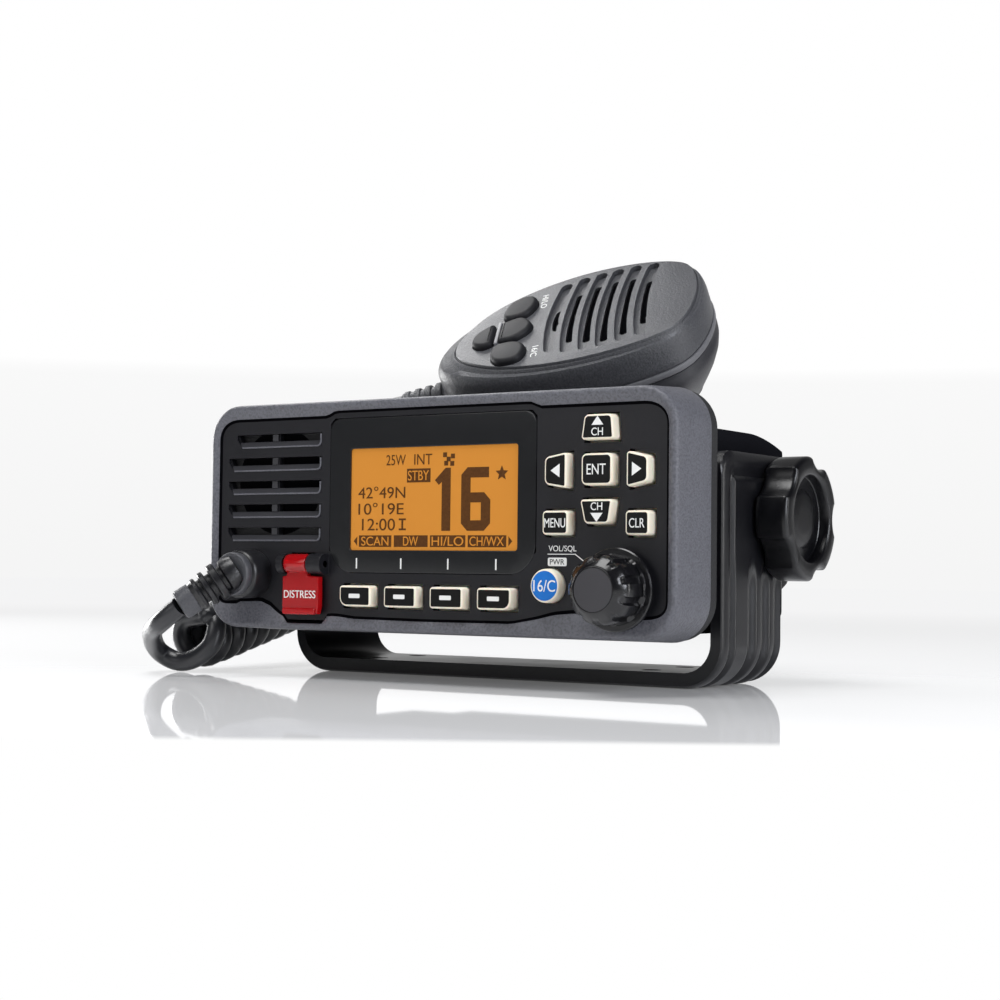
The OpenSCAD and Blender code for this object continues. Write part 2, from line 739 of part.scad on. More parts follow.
module chassis() {
  z_mid = chassis_bottom + chassis_h/2;
  sink_mid = chassis_bottom + 1 + sink_h/2;
  lid_top = chassis_top + lid_h;
  cavity_drop = 2.4;     // keeps the cavity below the chamfer
  fin_t = 2.2;
  fin_step = (sink_w/2 + 16)/(fin_count - 1);
  color("#1d1e20") difference() {
    union() {
      intersection() {
        translate([0, 0, z_mid]) standing(chassis_front, body_back) rounded(chassis_w, chassis_h, 6);
        across(-chassis_w, chassis_w) body_profile();
      }
      translate([0, 0, sink_mid]) standing(body_back - 6, chassis_back) rounded(sink_w, sink_h, 4);
      translate([0, 0, lid_top - 6]) standing(chassis_front, lid_back) rounded(lid_w, 12, 3);
      translate([0, 0, bezel_h/2]) standing(chassis_front, chassis_front + flange_plate_t)
        rounded(flange_plate_w, flange_plate_h, 8);
      for (i = [0 : fin_count - 1]) translate([2 - sink_w/2 + i*fin_step, chassis_back - eps,
        chassis_bottom + 3]) cube([fin_t, fin_depth + eps, sink_h - 4]);
    }
    difference() {
      translate([0, 0, z_mid - cavity_drop/2]) standing(chassis_front - 1, cavity_back)
        rounded(chassis_w - 2*chassis_wall, chassis_h - 2*chassis_wall - cavity_drop, 3.5);
      for (s = [-1, 1]) on_side(s)
        x_rod(chassis_w/2 - bolt_reach - 2, chassis_w/2, [pivot_y, pivot_z], boss_r);
      for (x = [-stand_x, stand_x], y = stand_y) translate([x, y, 0]) cylinder(h = board_z, r = 3);
    }
    translate([0, 0, sink_mid]) standing(cavity_back - 1, chassis_back - 4)
      rounded(sink_w - 4*chassis_wall, sink_h - 4*chassis_wall, 3);
    translate([0, 0, lid_top - chassis_wall - 7]) standing(chassis_front - 1, lid_back - chassis_wall)
      rounded(lid_w - 4*chassis_wall, 14, 2);
    for (s = [-1, 1]) on_side(s)
      x_rod(chassis_w/2 - bolt_reach - 1, chassis_w/2 + 1, [pivot_y, pivot_z], bolt_r + pin_gap);
    for (x = [-post_x, post_x], z = post_z) y_rod([x, z], 0, chassis_front + 5, case_screw_r + 0.2);
    y_rod(antenna_at, chassis_back - 5, chassis_back + 1, 5);
    y_rod(lead_at, chassis_back - 5, chassis_back + 1, 5);
    y_rod(ground_at, chassis_back - 5, chassis_back + 1, 1.5);
  }
}

module case_screws() {
  head = chassis_front + flange_plate_t;
  color("silver") for (x = [-post_x, post_x], z = post_z) {
    y_rod([x, z], panel_back + 3, head + eps, case_screw_r);
    y_rod([x, z], head, head + 2, 2.6);
  }
}

module antenna_jack() {
  color("silver") difference() {
    union() {
      y_rod(antenna_at, chassis_back - 8, chassis_back + eps, 5);
      y_rod(antenna_at, chassis_back, chassis_back + 3, 11);
      y_rod(antenna_at, chassis_back + 3 - eps, chassis_back + 3 + antenna_len, antenna_r);
    }
    y_rod(antenna_at, chassis_back + 6, chassis_back + antenna_len + 4, 5.8);
  }
}

module rear_lead_gland() {
  color("#0c0c0d") difference() {
    union() {
      y_rod(lead_at, chassis_back - 6, chassis_back + eps, 5);
      y_rod(lead_at, chassis_back, chassis_back + 6, 7);
    }
    y_rod(lead_at, chassis_back - 7, chassis_back + 7, 3);
  }
}

module ground_screw() {
  color("silver") {
    y_rod(ground_at, chassis_back - 6, chassis_back + eps, 1.5);
    y_rod(ground_at, chassis_back, chassis_back + 2.5, 4);
  }
}

module main_board() {
  half_w = chassis_w/2 - chassis_wall - board_edge[0];
  color("darkgreen") block([-half_w, half_w], [chassis_front + 8.6, cavity_back - board_edge[1]],
    [board_z, board_z + board_t]);
}

module shield_cover() {
  floor_z = board_z + board_t;
  color("lightgrey") difference() {
    block([-shield_w/2, shield_w/2], shield_y, [floor_z, floor_z + shield_h]);
    block([shield_t - shield_w/2, shield_w/2 - shield_t], [shield_y[0] + shield_t, shield_y[1] - shield_t],
      [floor_z - 1, floor_z + shield_h - shield_t]);
  }
}

// ---- Hand microphone ----

module in_mic() {
  translate(mic_at) rotate(mic_turn) children();
}

// Blends one shape of revolution round each corner of the microphone's outline
module mic_front_shape(inset, below = 0) {
  top = -inset;
  hull() for (c = concat([mic_tip], mic_ends)) translate([c[0], c[1], 0]) {
    r = c[2] - inset;
    rotate_extrude($fn = 32) polygon([[0, mic_seam - below], [r, mic_seam - below],
      [r, top - mic_round], [r - 0.3*mic_round, top - 0.3*mic_round], [r - mic_round, top], [0, top]]);
  }
}

module mic_rear_shape(inset, above = 0) {
  rim = 1.5;
  hull() {
    for (c = concat([mic_tip], mic_ends)) translate([c[0], c[1], mic_seam - gap - rim])
      cylinder(h = rim + above, r = c[2] - inset, $fn = 32);
    for (c = mic_floor) translate([c[0], c[1], mic_rear + inset])
      cylinder(h = rim, r = c[2] - inset, $fn = 32);
  }
}

module upright(points, z0, z1, grow = 0) {
  translate([0, 0, z0]) linear_extrude(z1 - z0) soft_outline(points, grow);
}

module mic_key(points) {
  color("#2a2b2e") in_mic() {
    upright(points, -mic_wall - gap - eps, mic_key_proud);
    upright(points, -mic_wall - gap - flange_t, -mic_wall - gap, mic_flange_lip);
  }
}

module ptt_outline(grow) {
  translate([ptt_x[0] - grow, 0, ptt_z[0] - grow])
    cube([ptt_x[1] - ptt_x[0] + 2*grow, 40, ptt_z[1] - ptt_z[0] + 2*grow]);
}

module boot_bore() {
  translate(mic_boot_at - [10, 0, 0]) rotate([0, 90, 0]) cylinder(h = 16, r = mic_boot_r - 1);
}

module mic_front_shell() {
  color("#4a4c50") in_mic() difference() {
    union() {
      difference() {
        mic_front_shape(0);
        mic_front_shape(mic_wall, 1);
      }
      for (p = mic_screw_at) translate([p[0], p[1], mic_seam])
        cylinder(h = mic_front_depth - 1, r = mic_boss_r);
    }
    for (i = [0 : mic_slots - 1]) {
      x = mic_slot_x + (i - (mic_slots - 1)/2)*mic_slot_pitch;
      translate([x - mic_slot_w/2, mic_slot_y - mic_slot_len/2, -mic_wall - 2])
        cube([mic_slot_w, mic_slot_len, mic_wall + 3]);
    }
    for (k = [power_outline, mic_down_outline, mic_up_outline, mic16_outline])
      translate([0, 0, -mic_wall - 3]) {
        linear_extrude(mic_wall + 4) opening_outline(k);
        linear_extrude(3) opening_outline(k, mic_flange_lip + key_gap);
      }
    for (p = mic_screw_at) translate([p[0], p[1], mic_seam - 1]) cylinder(h = 10, r = mic_screw_r);
    ptt_outline(gap);
    boot_bore();
  }
}

module mic_rear_shell() {
  color("#333539") in_mic() difference() {
    union() {
      difference() {
        mic_rear_shape(0);
        mic_rear_shape(mic_wall, 1);
      }
      for (p = mic_screw_at) translate([p[0], p[1], mic_rear + eps])
        cylinder(h = mic_rear_depth - gap - 2*eps, r = mic_boss_r + 0.6);
    }
    for (p = mic_screw_at) translate([p[0], p[1], mic_rear - 1]) {
      cylinder(h = mic_rear_depth + 3, r = mic_screw_r + 0.1);
      cylinder(h = 3, r = 2.5);
    }
    ptt_outline(gap);
    boot_bore();
    translate([stud_at[0], stud_at[1], mic_rear - 1]) cylinder(h = 3, r = 2);
  }
}

module mic_screws() {
  color("silver") in_mic() for (p = mic_screw_at) translate([p[0], p[1], mic_rear]) {
    cylinder(h = mic_rear_depth + 8, r = mic_screw_r);
    cylinder(h = 2, r = 2.4);
  }
}

module mic_board() {
  color("darkgreen") in_mic() block(mic_board_x, mic_board_y, [mic_board_back, mic_board_back + mic_board_t]);
}

module mic_element() {
  r = 11;
  color("#555555") in_mic() translate([11.5, -1, mic_board_back + mic_board_t])
    cylinder(h = -mic_wall - 0.6 - mic_board_back - mic_board_t, r = r);
}

module ptt_bar() {
  color("#222326") in_mic() {
    block(ptt_x, ptt_y, ptt_z);
    block([ptt_x[0] + 4, ptt_x[1] - 4], [ptt_y[0] - 3, ptt_y[0] + eps], [ptt_z[0] + 3, ptt_z[1] - 3]);
  }
}

module ptt_switch() {
  color("#888888") in_mic()
    block([ptt_mid - 3, ptt_mid + 3], [mic_board_y[1], ptt_y[0] - 3 - ptt_travel - gap],
      [mic_board_back - 2, mic_board_back + 3]);
}

module hanger_stud() {
  color("silver") in_mic() translate([stud_at[0], stud_at[1], 0]) {
    translate([0, 0, mic_rear - 1]) cylinder(h = 3, r = 2);
    translate([0, 0, stud_tip + 2]) cylinder(h = mic_rear - stud_tip - 2, r = 4);
    translate([0, 0, stud_tip]) cylinder(h = 2 + eps, r = stud_r);
  }
}

module mic_strain_relief() {
  color("#1b1c1f") in_mic() translate(mic_boot_at) rotate([0, -90, 0]) {
    cylinder(h = mic_boot_len, r = 3.4);
    for (i = [1 : 4]) translate([0, 0, 1 + i*3.6]) cylinder(h = 1.8, r = mic_boot_r - 0.2*i);
  }
}

// ---- Cord ----

// Points chosen by hand: the smooth lead, the axis of the curls, and the smooth tail
lead_route = [[-78, -19, 2.5], [-87, -13, -0.5], [-94, -5, -4.5], [-95.5, 0, -7.7],
  [-91, 2.5, -10], [-85, 3.5, -8.7], [-80, 4.5, -4.7], [-79, 5.5, 0.3], [-81, 6.5, 2.8]];
curl_route = [[-89, 7.5, -3.3], [-90, 18, -1.5], [-91.5, 34, 2], [-93.5, 55, 6.8],
  [-95, 75, 14], [-95, 93, 25.5], [-93, 108, 41], [-89, 119, 59]];
tail_route = [[-80, 104, 65], [-77, 92, 69], [-74, 80, 69.8], [-70, 70, 69], [-63.5, 62.3, 68.6]];
curl_rings = 8;
curl_sides = 6;
curl_r = (curl_od - cord_d)/2;

function unit(v) = v/norm(v);

// Smooth curve through a list of points; t counts points from 0
function curve_at(p, t) =
  let (n = len(p), i = min(floor(t), n - 2), f = t - i,
    a = p[max(i - 1, 0)], b = p[i], c = p[i + 1], d = p[min(i + 2, n - 1)])
  0.5*(2*b + (c - a)*f + (2*a - 5*b + 4*c - d)*f*f + (3*b - a - 3*c + d)*f*f*f);

function curve_points(p, steps) = [for (i = [0 : steps*(len(p) - 1)]) curve_at(p, i/steps)];

function direction(c, i) = unit(c[min(i + 1, len(c) - 1)] - c[max(i - 1, 0)]);

// Corners of a ring about a centre, its first corner along side
function ring(centre, along, side, r, n) =
  let (a = unit(cross(along, side)), b = cross(a, along))
  [for (k = [0 : n - 1]) centre + r*(cos(k*360/n)*b + sin(k*360/n)*a)];

// Skins a list of rings with triangles and closes both ends
module skin(rings) {
  n = len(rings[0]);
  last = len(rings) - 1;
  walls = [for (i = [0 : last - 1], k = [0 : n - 1]) let (a = i*n + k, b = i*n + (k + 1)%n)
    each [[a, b + n, b], [a, a + n, b + n]]];
  ends = [for (k = [1 : n - 2]) each [[0, k, k + 1], [last*n, last*n + k + 1, last*n + k]]];
  polyhedron([for (r = rings) each r], concat(walls, ends));
}

// Length along the curls' axis, as a table from length to curve position
axis_steps = 12;
axis_points = curve_points(curl_route, axis_steps);
function running_length(c) =
  [for (i = 0, s = 0; i < len(c); s = s + norm(c[min(i + 1, len(c) - 1)] - c[i]), i = i + 1) s];
axis_lengths = running_length(axis_points);
axis_length = axis_lengths[len(axis_lengths) - 1];
axis_table = [for (i = [0 : len(axis_points) - 1]) [axis_lengths[i], i/axis_steps]];
curls = floor(axis_length/curl_pitch - 0.75) + 0.75;   // ends on the right, heading forwards

function axis_at(s) = curve_at(curl_route, lookup(s, axis_table));
function axis_along(s) = unit(axis_at(min(s + 0.5, axis_length)) - axis_at(max(s - 0.5, 0)));

// Outward direction of the curl at length s; the curl starts at the top and goes left
function outward(s) =
  let (t = axis_along(s), up = unit(cross([1, 0, 0], t)), right = cross(t, up),
    a = -360*s/curl_pitch)
  cos(a)*up + sin(a)*right;

curl_steps = curls*curl_rings;
curl_s = [for (i = [0 : curl_steps]) i*curl_pitch/curl_rings];
curl_centres = [for (s = curl_s) axis_at(s) + curl_r*outward(s)];
curl_first = unit(curl_centres[0] - curl_centres[1] + [0, 0, -1.2]);
curl_last = unit(curl_centres[curl_steps] - curl_centres[curl_steps - 1]);
curl_start = curl_centres[0] + cord_d*curl_first;
curl_end = curl_centres[curl_steps] + cord_d*curl_last;

// Least distance between any point of the curls and a point half a curl or more away
curl_gap = min([for (i = [0 : curl_steps], j = [i + curl_rings/2 : curl_steps])
  norm(curl_centres[i] - curl_centres[j])]) - cord_d;

module cord_curl() {
  rings = [for (i = [0 : curl_steps])
    ring(curl_centres[i], direction(curl_centres, i), outward(curl_s[i]), cord_d/2, curl_sides)];
  first = ring(curl_start, -curl_first, outward(0), cord_d/2, curl_sides);
  last = ring(curl_end, curl_last, outward(curl_s[curl_steps]), cord_d/2, curl_sides);
  echo(curls = curls, curl_gap = curl_gap, curl_start = curl_start, curl_end = curl_end);
  color("#101012") skin(concat([first], rings, [last]));
}

// Tube along points, its end faces square to the two given directions
module plain_cord(points, side, first, last) {
  end = len(points) - 1;
  color("#101012") skin([for (i = [0 : end])
    ring(points[i], i == 0 ? first : i == end ? last : direction(points, i), side, cord_d/2, 8)]);
}

boot_end = boot_from + boot_len*unit(boot_dir);
function turned(v, r) =
  let (x = [v[0], v[1]*cos(r[0]) - v[2]*sin(r[0]), v[1]*sin(r[0]) + v[2]*cos(r[0])],
    y = [x[0]*cos(r[1]) + x[2]*sin(r[1]), x[1], x[2]*cos(r[1]) - x[0]*sin(r[1])])
  [y[0]*cos(r[2]) - y[1]*sin(r[2]), y[0]*sin(r[2]) + y[1]*cos(r[2]), y[2]];
mic_boot_end = mic_at + turned(mic_boot_at - [mic_boot_len, 0, 0], mic_turn);
mic_along = turned([-1, 0, 0], mic_turn);

module cord_lead() {
  knots = concat([boot_end], lead_route, [curl_start + 1.5*curl_first, curl_start]);
  points = curve_points(knots, 3);
  echo(lead_gap = min([for (i = [0 : len(points) - 6], b = curl_centres) norm(points[i] - b)]) - cord_d);
  plain_cord(points, [0, 1, 0], unit(boot_dir), -curl_first);
}

module cord_tail() {
  knots = concat([curl_end + pin_gap*curl_last, curl_end + 4*curl_last], tail_route,
    [mic_boot_end + 4*mic_along, mic_boot_end]);
  points = curve_points(knots, 3);
  echo(tail_gap = min([for (i = [6 : len(points) - 1], b = curl_centres) norm(points[i] - b)]) - cord_d);
  plain_cord(points, [0, 0, 1], curl_last, -mic_along);
}

// ---- Placing: the origin moves to the centre of the bracket's base ----

module place() {
  translate([0, -bracket_mid, lift]) children();
}

place() bracket();
place() friction_washers();
place() clamp_bolt(-1);  // clamp_bolt_left
place() clamp_bolt(1);  // clamp_bolt_right
place() clamp_knob(-1);  // clamp_knob_left
place() clamp_knob(1);  // clamp_knob_right
place() bezel();
place() front_panel();
place() front_gasket();
place() chassis();
place() case_screws();
place() antenna_jack();
place() rear_lead_gland();
place() ground_screw();
place() lens();
place() display_module();
place() keypad_sheet();
place() logic_board();
place() main_board();
place() shield_cover();
place() speaker();
place() plain_key(soft_points(0));  // soft_key_1
place() plain_key(soft_points(1));  // soft_key_2
place() plain_key(soft_points(2));  // soft_key_3
place() plain_key(soft_points(3));  // soft_key_4
place() plain_key(up_outline);  // key_up
place() plain_key(down_outline);  // key_down
place() plain_key(left_outline);  // key_left
place() plain_key(right_outline);  // key_right
place() plain_key(enter_outline);  // key_enter
place() plain_key(menu_outline);  // key_menu
place() plain_key(clear_outline);  // key_clear
place() key_16();
place() encoder_body();
place() encoder_shaft();
place() volume_dial();
place() dial_cap();
place() distress_flap();
place() flap_pin();
place() distress_button();
place() gland_boss();
place() gland_nut();
place() strain_relief();
place() mic_front_shell();
place() mic_rear_shell();
place() mic_key(power_outline);  // mic_key_power
place() mic_key(mic_down_outline);  // mic_key_down
place() mic_key(mic_up_outline);  // mic_key_up
place() mic_key(mic16_outline);  // mic_key_16
place() ptt_bar();
place() ptt_switch();
place() mic_element();
place() mic_board();
place() mic_screws();
place() hanger_stud();
place() mic_strain_relief();
place() cord_lead();
place() cord_curl();
place() cord_tail();
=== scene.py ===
# A fixed-mount marine VHF radio in its bracket, with its hand microphone lying on top
# and the microphone's curly cord beside it. Metres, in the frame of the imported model.
import math

import bmesh
import bpy
from mathutils import Matrix, Vector


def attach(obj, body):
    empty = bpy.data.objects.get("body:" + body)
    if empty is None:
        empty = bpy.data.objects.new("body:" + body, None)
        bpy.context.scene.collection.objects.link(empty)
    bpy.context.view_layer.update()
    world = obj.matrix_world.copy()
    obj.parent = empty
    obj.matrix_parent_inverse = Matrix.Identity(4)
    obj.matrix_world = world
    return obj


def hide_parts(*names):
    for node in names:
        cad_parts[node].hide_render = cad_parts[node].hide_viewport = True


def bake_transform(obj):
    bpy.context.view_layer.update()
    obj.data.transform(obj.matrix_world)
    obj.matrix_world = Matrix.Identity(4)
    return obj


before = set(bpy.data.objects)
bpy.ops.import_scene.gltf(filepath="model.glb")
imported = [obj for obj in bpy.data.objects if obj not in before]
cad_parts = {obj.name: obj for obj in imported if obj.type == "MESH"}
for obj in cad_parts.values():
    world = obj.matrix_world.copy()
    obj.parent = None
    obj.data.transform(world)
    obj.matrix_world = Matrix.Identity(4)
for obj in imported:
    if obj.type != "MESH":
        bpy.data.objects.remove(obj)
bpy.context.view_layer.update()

# ---- Camera ----
# The photograph is taken from the front right, a little above the table.
# Places on the radio are measured in millimetres from the bezel: x from its middle,
# y backwards from its ridge and z up from its lower edge.
MM = 0.001
RIDGE_TO_MIDDLE = 53.65
LIFT = 13.1
AZIMUTH, PITCH, ROLL = math.radians(33.102), math.radians(2.167), math.radians(0.632)
EYE = (289.13, -405.57, 18.56)


def at(x, y, z):
    return Vector((x, y - RIDGE_TO_MIDDLE, z + LIFT)) * MM


def add_object(name, data):
    made = bpy.data.objects.new(name, data)
    bpy.context.scene.collection.objects.link(made)
    return made


ahead = Vector((-math.sin(AZIMUTH) * math.cos(PITCH), math.cos(AZIMUTH) * math.cos(PITCH), math.sin(PITCH)))
level = Vector((math.cos(AZIMUTH), math.sin(AZIMUTH), 0))
upright = level.cross(ahead)
right = level * math.cos(ROLL) + upright * math.sin(ROLL)
up = upright * math.cos(ROLL) - level * math.sin(ROLL)
camera_data = bpy.data.cameras.new("camera")
camera_data.lens = 65.93
camera_data.sensor_width = 36
camera_data.clip_start = 0.01
camera = add_object("camera", camera_data)
camera.matrix_world = Matrix.Translation(at(*EYE)) @ Matrix((right, up, -ahead)).transposed().to_4x4()
bpy.context.scene.camera = camera
bpy.context.scene.view_settings.view_transform = "Standard"


# ---- Finishes ----
# Moulded plastic, rubber and painted metal, each with the fine surface that it is made with.
class Value:
    """A shader socket. Python operators on it add Math nodes."""

    def __init__(self, nodes, socket):
        self.nodes, self.socket = nodes, socket

    def math(self, operation, other):
        return self.nodes.node("ShaderNodeMath", {"operation": operation}, self, other)

    def __add__(self, other):
        return self.math("ADD", other)

    def __sub__(self, other):
        return self.math("SUBTRACT", other)

    def __mul__(self, other):
        return self.math("MULTIPLY", other)

    __radd__, __rmul__ = __add__, __mul__


class Nodes:
    """A node tree, and the method that adds nodes to it."""

    def __init__(self, tree):
        self.tree = tree

    def node(self, kind, settings=None, *values, output=0, **inputs):
        made = self.tree.nodes.new(kind)
        for name, value in (settings or {}).items():
            setattr(made, name, value)
        for socket, value in [*enumerate(values), *inputs.items()]:
            self.put(made.inputs[socket], value)
        return Value(self, made.outputs[output])

    def put(self, socket, value):
        if isinstance(value, Value):
            self.tree.links.new(value.socket, socket)
        else:
            socket.default_value = value

    def ease(self, value, *limits, kind="LINEAR"):
        """Map Range: from a least and a greatest value to a least and a greatest result."""
        return self.node("ShaderNodeMapRange", {"interpolation_type": kind}, value, *limits)

    def mix(self, amount, first, second):
        return self.node("ShaderNodeMixShader", None, amount, first, second)


class Finish(Nodes):
    """A Principled material."""

    def __init__(self, name, color, roughness, **settings):
        self.material = bpy.data.materials.new(name)
        self.material.use_nodes = True
        super().__init__(self.material.node_tree)
        self.shader = self.tree.nodes["Principled BSDF"]
        self.color = (*color, 1.0)
        self.set("Base Color", self.color)
        self.set("Roughness", roughness)
        for socket, value in settings.items():
            self.set(socket.replace("_", " "), value)
        self.material.diffuse_color = self.color

    def set(self, socket, value):
        self.put(self.shader.inputs[socket], value)

    def grain(self, size, detail=2.0):
        """Noise from 0 to 1 whose lumps are about size across."""
        place = self.node("ShaderNodeTexCoord", output="Object")
        return self.node("ShaderNodeTexNoise", None, Vector=place, Scale=1 / size, Detail=detail, output="Fac")

    def bump(self, height, depth):
        self.set("Normal", self.node("ShaderNodeBump", Height=height, Distance=depth, Strength=1, output="Normal"))

    def blend_color(self, amount, color):
        mixed = self.node("ShaderNodeMix", {"data_type": "RGBA"}, output=2)
        for socket, value in ((0, amount), (6, self.color), (7, (*color, 1.0))):
            self.put(mixed.socket.node.inputs[socket], value)
        self.set("Base Color", mixed)


def smooth(name, color, roughness, bump=(), sheen=(), tint=(), **settings):
    """A smooth finish with, where given, fine lumps (size, depth), changes in roughness (least,
    range, size) and changes in colour (amount, second colour, size and detail)."""
    made = Finish(name, color, roughness, **settings)
    if bump:
        made.bump(made.grain(bump[0]), bump[1])
    if sheen:
        made.set("Roughness", sheen[0] + sheen[1] * made.grain(sheen[2]))
    if tint:
        made.blend_color(tint[0] * made.grain(*tint[2:]), tint[1])
    return made.material


def textured(name, color, roughness, lump=0.00035, depth=0.00006, speckle=0.0, **settings):
    """Spark-eroded plastic or rubber: fine lumps, and broad faint changes in colour and sheen."""
    made = Finish(name, color, roughness, **settings)
    lumps = made.grain(lump)
    broad = made.grain(0.012, 3.0)
    made.bump(lumps, depth)
    made.set("Roughness", roughness - 0.06 + 0.12 * broad)
    made.blend_color(broad * 0.3 + (lumps - 0.38) * speckle, tuple(c * 1.5 for c in color))
    return made.material


def dress(name, material):
    """Gives a CAD node a finish."""
    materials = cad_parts[name].data.materials
    materials.clear()
    materials.append(material)


def assign(piece, body, node=None):
    """The piece moves with a body and, where a node is given, stands for that CAD node."""
    if node:
        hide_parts(node)
    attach(piece, body)
    return piece


# ---- Cord ----
# A round rubber cord of 5.8 mm. It leaves the radio's gland smooth, turns once on the
# table, is wound into springy curls and goes smooth again into the microphone.
CORD = 5.8
CURL_PITCH = 6.85
CURL_RADIUS = 6.4
STEPS_PER_CURL = 24
GLAND = Vector((-61.5, -8.5, 16.4))
BOOT_AIM = Vector((-0.60, -0.57, -0.55)).normalized()
BOOT_LENGTH = 17
MIC_CENTRE = Vector((-0.35, 71.18, 95.2))
MIC_TURN = Matrix.Rotation(math.radians(16.15), 4, "Z") @ Matrix.Rotation(math.radians(-11.01), 4, "Y") \
    @ Matrix.Rotation(math.radians(36.9), 4, "X")
MIC_BOOT = Vector((-56, -4, -15))
lead_route = [
    (-78, -19, 2.5), (-87, -13, -0.5), (-94, -5, -4.5), (-95.5, 0, -7.7), (-91, 2.5, -10),
    (-85, 3.5, -8.7), (-80, 4.5, -4.7), (-79, 5.5, 0.3), (-81, 6.5, 2.8)]
curl_route = [
    (-89, 7.5, -3.3), (-90, 18, -1.5), (-91.5, 34, 2), (-93.5, 55, 6.8), (-95, 75, 14),
    (-95, 93, 25.5), (-93, 108, 41), (-89, 119, 59)]
tail_route = [(-80, 104, 65), (-77, 92, 69), (-74, 80, 69.8), (-70, 70, 69), (-63.5, 62.3, 68.6)]


def curve_at(points, t):
    """The place at t, counted in points, on the Catmull-Rom curve through them."""
    last = len(points) - 1
    i = max(0, min(int(t), last - 1))
    t -= i
    a, b, c, d = (Vector(points[max(0, min(last, k))]) for k in (i - 1, i, i + 1, i + 2))
    return 0.5 * (2 * b + (c - a) * t + (2 * a - 5 * b + 4 * c - d) * t**2 + (3 * b - a - 3 * c + d) * t**3)


def smooth_route(points, steps):
    return [curve_at(points, i / steps) for i in range(steps * (len(points) - 1) + 1)]


def curl_line():
    """Centreline of the curls: a helix round a curved axis, with a straight run at each end."""
    axis = smooth_route(curl_route, 24)
    run = [0.0]
    for a, b in zip(axis, axis[1:]):
        run.append(run[-1] + (b - a).length)

    def axis_at(length):
        length = max(0, min(run[-1], length))
        i = max(k for k, value in enumerate(run[:-1]) if value <= length)
        return curve_at(curl_route, (i + (length - run[i]) / (run[i + 1] - run[i])) / 24)

    def point(length):
        along = (axis_at(length + 0.5) - axis_at(length - 0.5)).normalized()
        above = Vector((1, 0, 0)).cross(along).normalized()
        angle = -2 * math.pi * length / CURL_PITCH
        return axis_at(length) + CURL_RADIUS * (math.cos(angle) * above + math.sin(angle) * along.cross(above))

    turns = math.floor(run[-1] / CURL_PITCH - 0.75) + 0.75
    line = [point(i * CURL_PITCH / STEPS_PER_CURL) for i in range(int(turns * STEPS_PER_CURL) + 1)]
    first = (point(0) - point(CURL_PITCH / 8) + Vector((0, 0, -1.2))).normalized()
    last = (point(turns * CURL_PITCH) - point(turns * CURL_PITCH - CURL_PITCH / 8)).normalized()
    return [
        line[0] + CORD * first, line[0] + CORD / 2 * first, *line,
        line[-1] + CORD / 2 * last, line[-1] + CORD * last]


def evaluated_mesh(thing):
    """The mesh of a curve, of text, or of a piece with its modifiers."""
    bpy.context.view_layer.update()
    return bpy.data.meshes.new_from_object(thing.evaluated_get(bpy.context.evaluated_depsgraph_get()))


def mesh_of_curve(name, curve):
    drawn = add_object(name, curve)
    mesh = evaluated_mesh(drawn)
    bpy.data.objects.remove(drawn)
    return mesh


def cord_piece(name, line):
    """A round cord along a centreline, closed at both ends."""
    shape = bpy.data.curves.new(name, "CURVE")
    shape.dimensions = "3D"
    shape.bevel_depth = CORD / 2 * MM
    shape.bevel_resolution = 5
    shape.use_fill_caps = True
    spline = shape.splines.new("POLY")
    spline.points.add(len(line) - 1)
    for point, place in zip(spline.points, line):
        point.co = (*at(*place), 1)
    mesh = mesh_of_curve(name, shape)
    mesh.materials.append(cord_rubber)
    for face in mesh.polygons:
        face.use_smooth = True
    return add_object(name, mesh)


cord_rubber = textured("cord rubber", (0.014, 0.0145, 0.017), 0.3, lump=0.0004, depth=0.000015)
curls = curl_line()
boot_end = GLAND + BOOT_LENGTH * BOOT_AIM
mic_boot_end = MIC_CENTRE + (MIC_TURN @ MIC_BOOT.to_4d()).to_3d()
into_mic = (MIC_TURN @ Vector((1, 0, 0, 0))).to_3d()
curl_exit, curl_entry = ((a - b).normalized() for a, b in ((curls[0], curls[1]), (curls[-1], curls[-2])))
lead = smooth_route([boot_end, *lead_route, curls[0] + 1.5 * curl_exit, curls[0]], 8)
tail = smooth_route([
    curls[-1], curls[-1] + 4 * curl_entry, *tail_route, mic_boot_end - 4 * into_mic, mic_boot_end], 8)
for name, line, start, end, bodies, node in (
    ("lead_cord", lead, boot_end, curls[0], ("radio", "base"), "cord_lead"),
    ("curled_cord", curls, curls[0], curls[-1], ("base", "radio"), "cord_curl"),
    ("tail_cord", tail, curls[-1], mic_boot_end, ("radio", "mic"), "cord_tail"),
):
    cord = cord_piece(name, line)
    length = sum((b - a).length for a, b in zip(line, line[1:])) * MM
    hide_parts(node)
    at(*start)
    at(*end)
    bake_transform(cord)
    at(*line[0])
    [at(*p) for p in line]


# ---- Table, backdrop and lamps ----
# A pale glossy table top that fades into a white backdrop, both beyond the radio and close
# to the camera. Six large soft boxes light it, and its reflections dim with direction.
def soft_box(name, place, target, size, power, color=(1, 1, 1)):
    lamp = bpy.data.lights.new(name, "AREA")
    lamp.shape = "RECTANGLE"
    lamp.size, lamp.size_y = size
    lamp.energy = power
    lamp.color = color
    made = add_object(name, lamp)
    made.location = place
    made.rotation_euler = (Vector(target) - Vector(place)).to_track_quat("-Z", "Y").to_euler()


